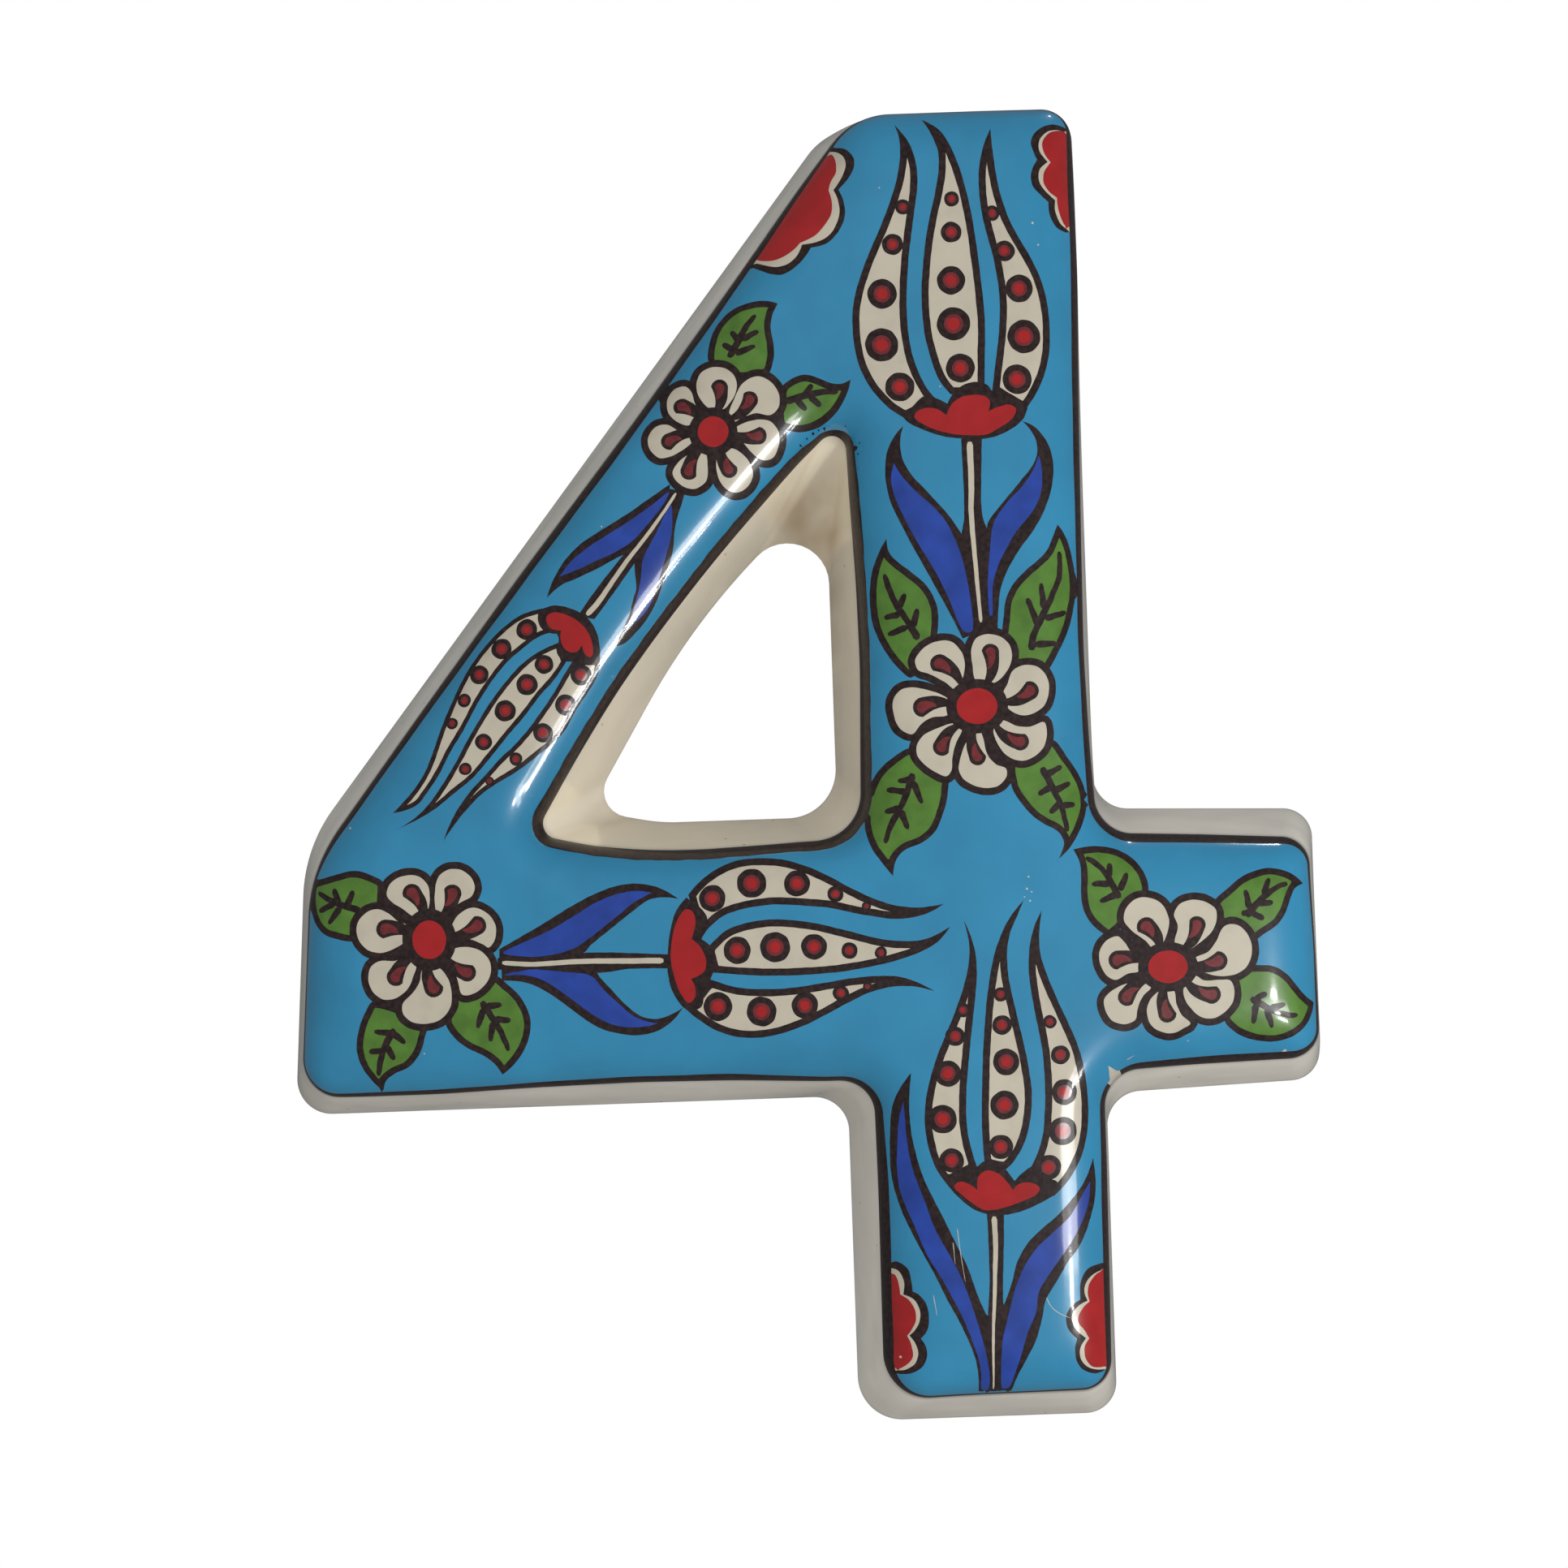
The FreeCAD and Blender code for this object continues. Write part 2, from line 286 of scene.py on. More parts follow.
def dome(u, size):
    """Height above the front edge at a distance in from it, and its slope.

    A quarter ellipse carries the shoulder, and a parabola that runs on towards the middle of the stroke is added
    to it. The ellipse is entered a little above its upright foot, so that the slope at the edge stays finite.
    """
    rise, run, low = size.shoulder_rise / MM, size.shoulder_run / MM, size.dome_rise / MM
    x = 1 - np.clip((u + ELLIPSE_LEAD) / (run + ELLIPSE_LEAD), 0, 1)
    arc = np.sqrt(1 - x**2)
    entry = math.sqrt(1 - (1 - ELLIPSE_LEAD / (run + ELLIPSE_LEAD)) ** 2)
    w = 1 - np.clip(u / BOW_RUN, 0, 1)
    height = rise * (arc - entry) + low * (1 - w**2)
    return height, rise / (run + ELLIPSE_LEAD) * x / np.maximum(arc, 1e-6) + low * 2 * w / BOW_RUN


# Painted shapes. Every outline is a smooth closed curve through a few points in mm, seen from the front, with
# x to the right and z up from the middle of the crossing. A third value marks a sharp corner.

# Pieces into which each span of a curve is cut before its points are spaced evenly.
SPAN_PIECES = 12

# Widths in mm: the dark line round petals and round leaves, a vein at its two ends, the dark margin under the
# petals round a heart, a scratch at its two ends.
PETAL_LINE = 0.78
LEAF_LINE = 0.72
VEIN_WIDTHS = (0.8, 0.55)
HEART_MARGIN = 1.9
SCRATCH_WIDTHS = (0.09, 0.04)

# How far out from the heart a petal may be drawn in, and how far it reaches in under the ring, in mm.
DRAWN_REACH = 2.4
UNDER_RING = 0.35


def curve(points, step=0.3, closed=True):
    """Points about a step apart on the smooth curve through the given ones: cubic pieces whose slopes follow
    the neighbouring points, with the slope broken at each sharp corner."""
    p = np.array([q[:2] for q in points], float)
    sharp = np.array([len(q) > 2 for q in points])
    if not closed:
        sharp[[0, -1]] = True
    ahead = np.roll(p, -1, 0) - p
    span = np.maximum(np.linalg.norm(ahead, axis=1), 1e-6)
    behind, span_behind = np.roll(ahead, 1, 0), np.roll(span, 1)
    middle = (ahead + behind) / (span + span_behind)[:, None]
    leaving = ahead / span[:, None]
    arriving = behind / span_behind[:, None]
    broken = sharp[:, None]
    soft_after, soft_before = ~np.roll(broken, -1, 0), ~np.roll(broken, 1, 0)
    out = np.where(broken, leaving, middle)
    out = np.where(broken & soft_after, 1.5 * leaving - 0.5 * np.roll(middle, -1, 0), out)
    into = np.where(broken, arriving, middle)
    into = np.where(broken & soft_before, 1.5 * arriving - 0.5 * np.roll(middle, 1, 0), into)
    into = np.roll(into, -1, 0)
    t = (np.arange(SPAN_PIECES) / SPAN_PIECES)[None, :, None]
    q = np.roll(p, -1, 0)
    scale = span[:, None, None]
    fine = (
        (2 * t**3 - 3 * t**2 + 1) * p[:, None]
        + (t**3 - 2 * t**2 + t) * scale * out[:, None]
        + (3 * t**2 - 2 * t**3) * q[:, None]
        + (t**3 - t**2) * scale * into[:, None]
    )
    if not closed:
        fine = np.concatenate([fine[:-1].reshape(-1, 2), p[-1:]])
        corner_at = np.array([0, len(fine) - 1])
        ring = fine
    else:
        fine = fine.reshape(-1, 2)
        corner_at = np.flatnonzero(sharp) * SPAN_PIECES
        ring = np.concatenate([fine, fine[:1]])
    run = np.concatenate([[0], np.cumsum(np.linalg.norm(np.diff(ring, axis=0), axis=1))])
    count = max(6, int(run[-1] / step))
    at = np.arange(count + (0 if closed else 1)) * run[-1] / count
    if len(corner_at):
        corners = run[corner_at]
        clear = np.abs(at[:, None] - corners[None]).min(1) > 0.4 * run[-1] / count
        at = np.sort(np.concatenate([at[clear], corners]))
    return np.stack([np.interp(at, run, ring[:, 0]), np.interp(at, run, ring[:, 1])], 1)


def grown(loop, width):
    """The closed loop moved outwards by a width, or inwards where it is negative, without its crossings."""
    ahead = np.roll(loop, -1, 0) - loop
    area = (loop[:, 0] * np.roll(loop[:, 1], -1) - loop[:, 1] * np.roll(loop[:, 0], -1)).sum()
    tangent = np.roll(loop, -1, 0) - np.roll(loop, 1, 0)
    tangent /= np.maximum(np.linalg.norm(tangent, axis=1), 1e-9)[:, None]
    normal = np.stack([tangent[:, 1], -tangent[:, 0]], 1) * np.sign(area)
    moved = loop + normal * width
    gap = moved[:, None] - loop[None]
    share = np.clip((gap * ahead[None]).sum(2) / np.maximum((ahead**2).sum(1), 1e-12)[None], 0, 1)
    distance = np.linalg.norm(gap - share[..., None] * ahead[None], axis=2).min(1)
    return moved[(distance > abs(width) * 0.97) & (inside(moved, loop) == (width < 0))]


def unsteady(loop, rng, amount):
    """The loop with the small swings of a brushed edge: three sine waves along it move it across its line."""
    ahead = np.roll(loop, -1, 0) - np.roll(loop, 1, 0)
    ahead /= np.maximum(np.linalg.norm(ahead, axis=1), 1e-9)[:, None]
    run = np.concatenate([[0], np.cumsum(np.linalg.norm(np.diff(loop, axis=0), axis=1))])
    total = run[-1] + np.linalg.norm(loop[0] - loop[-1])
    swing = np.zeros(len(loop))
    for wave in (5.0, 2.7, 1.3):
        turns = max(1, round(total / wave))
        swing += rng.uniform(0.5, 1.0) * np.sin(2 * math.pi * (turns * run / total + rng.random()))
    return loop + amount * 0.5 * swing[:, None] * np.stack([-ahead[:, 1], ahead[:, 0]], 1)


def disc(x, z, radius, squash=1.0):
    """Round spot, its height times squash."""
    count = max(12, int(2 * math.pi * radius / 0.3))
    angle = np.arange(count) / count * 2 * math.pi
    return np.stack([x + radius * np.cos(angle), z + radius * squash * np.sin(angle)], 1)


def stroke(points, start_width, end_width):
    """Brush stroke along a smooth line through the points, from one width to the other."""
    line = curve(points, 0.35, closed=False)
    ahead = np.gradient(line, axis=0)
    ahead /= np.linalg.norm(ahead, axis=1)[:, None]
    side = np.stack([-ahead[:, 1], ahead[:, 0]], 1)
    share = np.linspace(0, 1, len(line))
    half = (start_width * (1 - share) + end_width * share)[:, None] / 2
    half[[0, -1]] *= 0.55
    return np.concatenate([line + side * half, (line - side * half)[::-1]])


def drop(head, tail, radius, end=0.09):
    """Teardrop: a round head whose sides close in to a tail of the given half width, bowed to one side."""
    head, tail = np.array(head, float), np.array(tail, float)
    reach = np.linalg.norm(tail - head)
    ahead = (tail - head) / reach
    side = np.array([-ahead[1], ahead[0]])
    s = np.linspace(0, 1, 9)[1:]
    half = radius * (1 - s) ** 0.8 * (1 - 0.25 * s) + end * s
    bow = 0.16 * reach * np.sin(math.pi * s * 0.9)
    middle = head + s[:, None] * reach * ahead + bow[:, None] * side
    angle = np.linspace(math.pi / 2, 3 * math.pi / 2, 9)
    cap = head + radius * (np.cos(angle)[:, None] * ahead + np.sin(angle)[:, None] * side)
    return np.concatenate([cap, middle - half[:, None] * side, (middle + half[:, None] * side)[::-1]])


def drawn_in(loop, centre, squash, ring):
    """The petal with its inner end drawn in under the ring round the heart. Points nearest the heart move the
    whole way and those DRAWN_REACH further out stay, with a smooth step between."""
    arm = loop - centre
    reach = np.hypot(arm[:, 0], arm[:, 1] / squash)
    share = np.clip((reach - reach.min()) / DRAWN_REACH, 0, 1)
    move = max(reach.min() - ring + UNDER_RING, 0) * (1 - share**2 * (3 - 2 * share))
    return centre + arm * (1 - move / reach)[:, None]


TULIP_PETALS = [
    # Upper stem.
    [
        (-6.95, 90.8, 1), (-6.5, 88.7), (-6.6, 86.4), (-7.3, 83.4), (-8.9, 79.4), (-10.8, 75.3),
        (-12.1, 71.3),
        (-12.3, 68.2), (-11.9, 65.0), (-10.7, 62.2), (-8.9, 60.0), (-7.0, 58.6, 1), (-3.2, 60.2, 1),
        (-4.6, 61.9), (-5.9, 65.2), (-6.4, 69.5), (-6.1, 75.0), (-5.4, 79.8), (-4.8, 83.5), (-4.8, 85.8),
        (-5.4, 88.2),
    ],
    [
        (-3.95, 91.4, 1), (-2.5, 87.8), (-2.4, 85.7), (-2.85, 83.0), (-3.7, 79.7), (-4.4, 75.7),
        (-4.75, 71.7),
        (-4.6, 68.0), (-4.0, 65.0), (-3.2, 62.7), (-2.0, 61.0, 1), (1.7, 60.8, 1), (1.85, 65.0), (2.0, 68.3),
        (1.85, 71.7), (1.5, 75.7), (1.05, 79.7), (0.3, 83.7), (-0.7, 87.0), (-2.0, 89.7),
    ],
    [
        (3.4, 89.8, 1), (2.6, 88.0), (2.05, 86.0), (1.85, 83.7), (2.0, 81.0), (2.5, 78.3), (3.2, 75.3),
        (3.6, 72.3), (3.65, 69.7), (3.4, 67.0), (3.0, 64.3), (2.5, 61.2, 1), (6.0, 59.0, 1), (7.2, 60.7),
        (8.2, 62.7), (8.85, 65.0), (9.05, 67.7), (8.9, 70.3), (8.3, 73.0), (7.3, 75.3), (6.2, 77.3),
        (5.0, 79.7), (4.2, 82.3), (3.75, 84.7), (3.5, 87.3),
    ],
    # Slanting limb.
    [
        (-63.85, 17.9, 1), (-62.4, 19.3), (-61.1, 20.8), (-60.0, 22.6), (-59.1, 24.8), (-58.3, 27.0),
        (-57.2, 29.5), (-56.0, 32.0), (-54.6, 34.2), (-53.0, 36.1), (-51.1, 37.8), (-49.3, 38.9),
        (-47.4, 39.4), (-46.0, 39.5, 1), (-45.8, 36.9, 1), (-47.4, 36.4), (-48.9, 35.4), (-50.8, 33.9),
        (-52.7, 31.7), (-54.2, 29.5), (-55.8, 26.7), (-57.4, 24.2), (-58.6, 22.0), (-60.0, 20.0),
        (-61.3, 18.6),
    ],
    [
        (-63.4, 16.1, 1), (-61.4, 17.3), (-59.9, 18.7), (-58.3, 20.8), (-56.7, 23.3), (-55.5, 25.4),
        (-54.2, 27.5), (-52.7, 29.7), (-51.0, 31.8), (-49.2, 33.6), (-47.4, 34.8), (-45.2, 35.7, 1),
        (-44.5, 33.6, 1), (-45.8, 31.8), (-47.4, 30.1), (-49.2, 27.9), (-51.1, 25.8), (-53.0, 23.6),
        (-54.9, 21.5), (-57.1, 19.8), (-58.9, 18.4), (-60.8, 17.3),
    ],
    [
        (-58.4, 14.7, 1), (-57.7, 16.4), (-56.6, 18.3), (-55.2, 20.1), (-53.6, 21.7), (-52.1, 23.3),
        (-50.5, 24.7), (-48.9, 26.4), (-47.4, 28.3), (-46.1, 30.1), (-44.9, 32.0), (-43.8, 33.7, 1),
        (-40.9, 33.7, 1), (-41.2, 32.2), (-42.3, 30.4), (-43.6, 28.6), (-44.9, 26.4), (-46.1, 25.1),
        (-48.0, 23.6), (-50.2, 22.0), (-52.1, 20.9), (-53.9, 19.8), (-55.5, 18.3), (-57.1, 16.5),
    ],
    # Crossbar.
    [
        (-4.6, 6.05, 1), (-7.2, 5.75), (-9.6, 6.0), (-12.0, 6.8), (-14.4, 8.0), (-16.8, 9.4), (-19.2, 10.6),
        (-21.6, 11.4), (-24.0, 11.7), (-26.4, 11.6), (-28.4, 11.0), (-30.4, 9.8), (-32.2, 8.0, 1),
        (-30.9, 3.2, 1), (-30.0, 4.4), (-28.4, 5.6), (-26.0, 6.3), (-23.2, 6.6), (-20.0, 6.4), (-16.8, 6.0),
        (-14.4, 5.4), (-12.0, 4.9), (-10.0, 4.6), (-8.0, 4.7), (-6.4, 5.1),
    ],
    [
        (-4.0, 3.55, 1), (-6.8, 2.3), (-9.6, 2.2), (-12.0, 2.6), (-14.8, 3.4), (-17.6, 4.2), (-20.0, 4.7),
        (-22.8, 5.0), (-25.6, 4.8), (-28.0, 4.1), (-29.7, 2.8), (-30.4, 2.0, 1), (-29.8, -0.5, 1),
        (-27.2, -0.8), (-24.0, -1.05), (-20.0, -1.1), (-16.0, -0.9), (-12.4, -0.4), (-9.6, 0.2), (-7.2, 1.0),
        (-5.4, 2.0),
    ],
    [
        (-5.9, -3.35, 1), (-8.8, -1.9), (-11.2, -1.5), (-14.4, -1.6), (-17.6, -2.0), (-20.8, -2.4),
        (-24.0, -2.5), (-27.2, -2.2), (-30.2, -1.2, 1), (-32.8, -4.4, 1), (-31.6, -5.5), (-29.6, -6.8),
        (-27.2, -7.6), (-24.8, -7.7), (-22.4, -7.3), (-20.0, -6.5), (-17.6, -5.4), (-15.2, -4.2),
        (-12.8, -3.2), (-10.4, -2.7), (-8.0, -2.8),
    ],
    # Foot.
    [
        (-2.55, 4.2, 1), (-2.1, 2.0), (-2.1, 0.0), (-2.7, -2.6), (-3.8, -5.6), (-5.1, -8.5), (-6.2, -11.1),
        (-7.1, -14.1), (-7.5, -17.0), (-7.3, -19.6), (-6.6, -22.2), (-5.4, -24.2, 1), (-2.0, -22.6, 1),
        (-2.7, -20.0), (-3.0, -17.4), (-2.9, -14.4), (-2.6, -11.5), (-2.2, -8.5), (-1.8, -5.6), (-1.4, -2.6),
        (-1.35, 0.0), (-1.7, 2.0),
    ],
    [
        (4.05, 6.2, 1), (2.3, 4.1), (1.0, 1.5), (0.25, -1.1), (-0.3, -4.1), (-0.7, -7.4), (-1.0, -10.7),
        (-1.2, -14.1), (-1.35, -17.4), (-1.3, -20.4), (-1.2, -22.3, 1), (1.0, -22.9, 1), (1.8, -22.2),
        (3.0, -20.4), (3.85, -17.8), (4.15, -14.8), (3.9, -11.9), (3.3, -8.5), (2.7, -5.6), (2.1, -2.2),
        (2.0, 0.4), (2.4, 2.6), (3.2, 4.4),
    ],
    [
        (5.95, 5.05, 1), (4.95, 3.0), (4.4, 0.7), (4.3, -1.9), (4.6, -4.8), (5.1, -7.8), (5.5, -10.7),
        (5.6, -13.7), (5.5, -16.7), (5.1, -19.6), (4.1, -22.2), (3.3, -23.2, 1), (6.2, -25.9, 1),
        (8.0, -24.1), (9.5, -21.5), (10.2, -18.9), (10.35, -15.9), (10.05, -13.0), (9.4, -10.0), (8.4, -7.4),
        (7.3, -4.8), (6.2, -1.9), (5.55, 0.7), (5.6, 3.0),
    ],
]

# Width of the dark line round the three petals of each tulip.
TULIP_LINE_WIDTHS = [0.78, 0.5, 0.78, 0.78]

# Spots on the petals: place and radius.
TULIP_SPOTS = [
    (-6.43, 81.4, 0.83), (-7.67, 77.4, 1.15), (-9.0, 72.1, 1.6), (-9.23, 66.6, 1.8), (-7.43, 62.0, 1.57),
    (-1.13, 82.1, 0.83), (-1.3, 78.5, 1.13), (-1.5, 73.3, 1.53), (-1.4, 68.6, 1.8), (-0.83, 63.8, 1.57),
    (3.2, 80.4, 0.83), (4.37, 76.3, 1.13), (5.83, 72.2, 1.5), (6.17, 67.0, 1.8), (5.27, 62.4, 1.6),
    (-48.66, 37.25, 1.16), (-51.47, 35.3, 1.14), (-54.0, 32.6, 1.06), (-55.7, 29.85, 0.76),
    (-57.1, 27.4, 0.66),
    (-46.9, 33.4, 1.03), (-48.8, 31.3, 1.16), (-51.25, 28.55, 1.16), (-53.7, 25.25, 0.92), (-55.8, 22.4, 0.7),
    (-42.97, 32.2, 1.14), (-44.75, 29.0, 1.14), (-47.3, 26.05, 1.06), (-50.3, 23.3, 0.72), (-53.2, 21.0, 0.5),
    (-29.6, 7.5, 1.45), (-25.3, 9.0, 1.6), (-20.4, 8.8, 1.42), (-16.3, 7.5, 0.88), (-13.0, 6.1, 0.5),
    (-27.1, 1.8, 1.48), (-23.0, 2.0, 1.64), (-18.8, 1.9, 1.4), (-15.0, 1.35, 0.9), (-11.6, 1.0, 0.68),
    (-29.4, -4.2, 1.56), (-24.7, -4.9, 1.62), (-20.0, -4.4, 1.44), (-16.1, -3.2, 0.88), (-13.2, -2.6, 0.5),
    (-2.96, -5.5, 0.78), (-3.9, -8.3, 1.07), (-4.85, -12.3, 1.44), (-5.56, -17.2, 1.55), (-4.74, -21.7, 1.33),
    (1.15, -3.95, 0.78), (1.2, -7.25, 1.07), (1.5, -11.25, 1.44), (1.15, -15.9, 1.55), (0.6, -20.4, 1.33),
    (6.37, -7.1, 0.74), (7.4, -10.7, 1.04), (7.7, -14.75, 1.4), (7.4, -18.95, 1.55), (5.7, -22.8, 1.37),
]

# Caps under the petals: the dark shape, then the lobed red shape on it.
TULIP_CAPS = [
    (
        [
            (-7.2, 58.8, 1), (-6.0, 60.0), (-4.7, 61.0), (-3.5, 60.6), (-2.35, 60.0, 1), (-1.65, 61.2),
            (-0.5, 62.0), (0.7, 62.25), (2.0, 61.9), (2.7, 61.1), (4.3, 60.95), (5.5, 60.1), (6.3, 59.3, 1),
            (5.7, 58.0), (4.0, 56.8), (1.7, 56.1), (-1.0, 56.2), (-3.3, 56.6), (-5.3, 57.4), (-6.6, 58.1),
        ],
        [
            (-6.0, 58.7), (-5.5, 59.4), (-4.3, 59.65), (-3.2, 59.3), (-2.5, 58.75, 1), (-2.0, 59.8),
            (-1.0, 60.6), (0.3, 60.85), (1.7, 60.7), (2.25, 60.1), (2.0, 59.0, 1), (3.0, 59.45), (4.3, 59.7),
            (5.05, 59.25), (4.7, 58.3), (3.3, 57.3), (1.7, 56.55), (-1.0, 56.6), (-2.7, 56.9), (-4.7, 57.7),
        ],
    ),
    (
        [
            (-47.3, 39.3, 1), (-45.5, 39.75), (-43.6, 39.25), (-42.0, 38.25), (-41.1, 36.7), (-40.85, 35.1),
            (-40.9, 33.5, 1), (-42.8, 33.6), (-43.9, 33.6), (-44.9, 33.8), (-45.5, 34.8), (-45.2, 36.0),
            (-45.4, 36.65, 1), (-46.4, 36.85), (-47.1, 37.4), (-47.4, 38.3),
        ],
        [
            (-46.5, 38.5), (-45.7, 39.0), (-44.6, 38.8), (-43.3, 38.1), (-42.4, 37.3), (-41.8, 36.2),
            (-41.55, 34.8), (-41.8, 34.05), (-42.4, 34.35), (-42.75, 35.4, 1), (-43.2, 34.7), (-43.9, 34.6),
            (-44.6, 35.0), (-45.0, 35.9), (-44.9, 37.0, 1), (-46.1, 37.35),
        ],
    ),
    (
        [
            (-32.4, 7.7, 1), (-33.5, 6.4), (-34.2, 4.4), (-34.6, 2.0), (-34.7, 0.0), (-34.4, -2.0),
            (-33.6, -3.6), (-32.6, -4.6, 1), (-31.2, -4.2), (-30.8, -2.8), (-30.2, -1.4), (-29.6, 0.0),
            (-29.5, 1.2), (-30.0, 2.4), (-30.9, 3.1, 1), (-30.7, 4.4), (-30.2, 5.3), (-30.8, 6.4),
            (-31.8, 7.2),
        ],
        [
            (-32.6, 6.4), (-31.8, 6.2), (-31.5, 5.0), (-32.0, 3.2, 1), (-31.0, 2.2), (-30.5, 0.8),
            (-30.8, -0.4), (-32.2, -1.1, 1), (-31.8, -2.0), (-31.8, -3.0), (-32.5, -3.7), (-33.4, -2.6),
            (-34.0, -0.8), (-34.3, 1.2), (-34.1, 3.2), (-33.6, 5.0),
        ],
    ),
    (
        [
            (-5.5, -24.0, 1), (-4.6, -23.15), (-3.3, -22.6), (-2.3, -22.6), (-1.2, -21.9), (0.1, -22.15),
            (1.0, -22.8), (1.95, -24.15, 1), (2.85, -23.3), (3.9, -22.7), (5.2, -23.9), (6.6, -24.4),
            (6.4, -25.75, 1), (4.5, -26.7), (2.7, -27.4), (0.4, -27.8), (-1.8, -27.4), (-3.3, -26.5),
            (-4.6, -25.2),
        ],
        [
            (-4.6, -24.5), (-3.8, -24.0), (-2.7, -24.45), (-2.05, -25.0, 1), (-1.95, -23.6), (-1.0, -22.9),
            (0.3, -23.3), (1.2, -24.3), (1.75, -25.1, 1), (2.5, -24.45), (3.8, -24.4), (4.65, -25.0),
            (4.15, -25.75), (2.3, -26.5), (0.4, -27.05), (-1.4, -27.15), (-2.5, -26.5), (-3.8, -25.4),
        ],
    ),
]

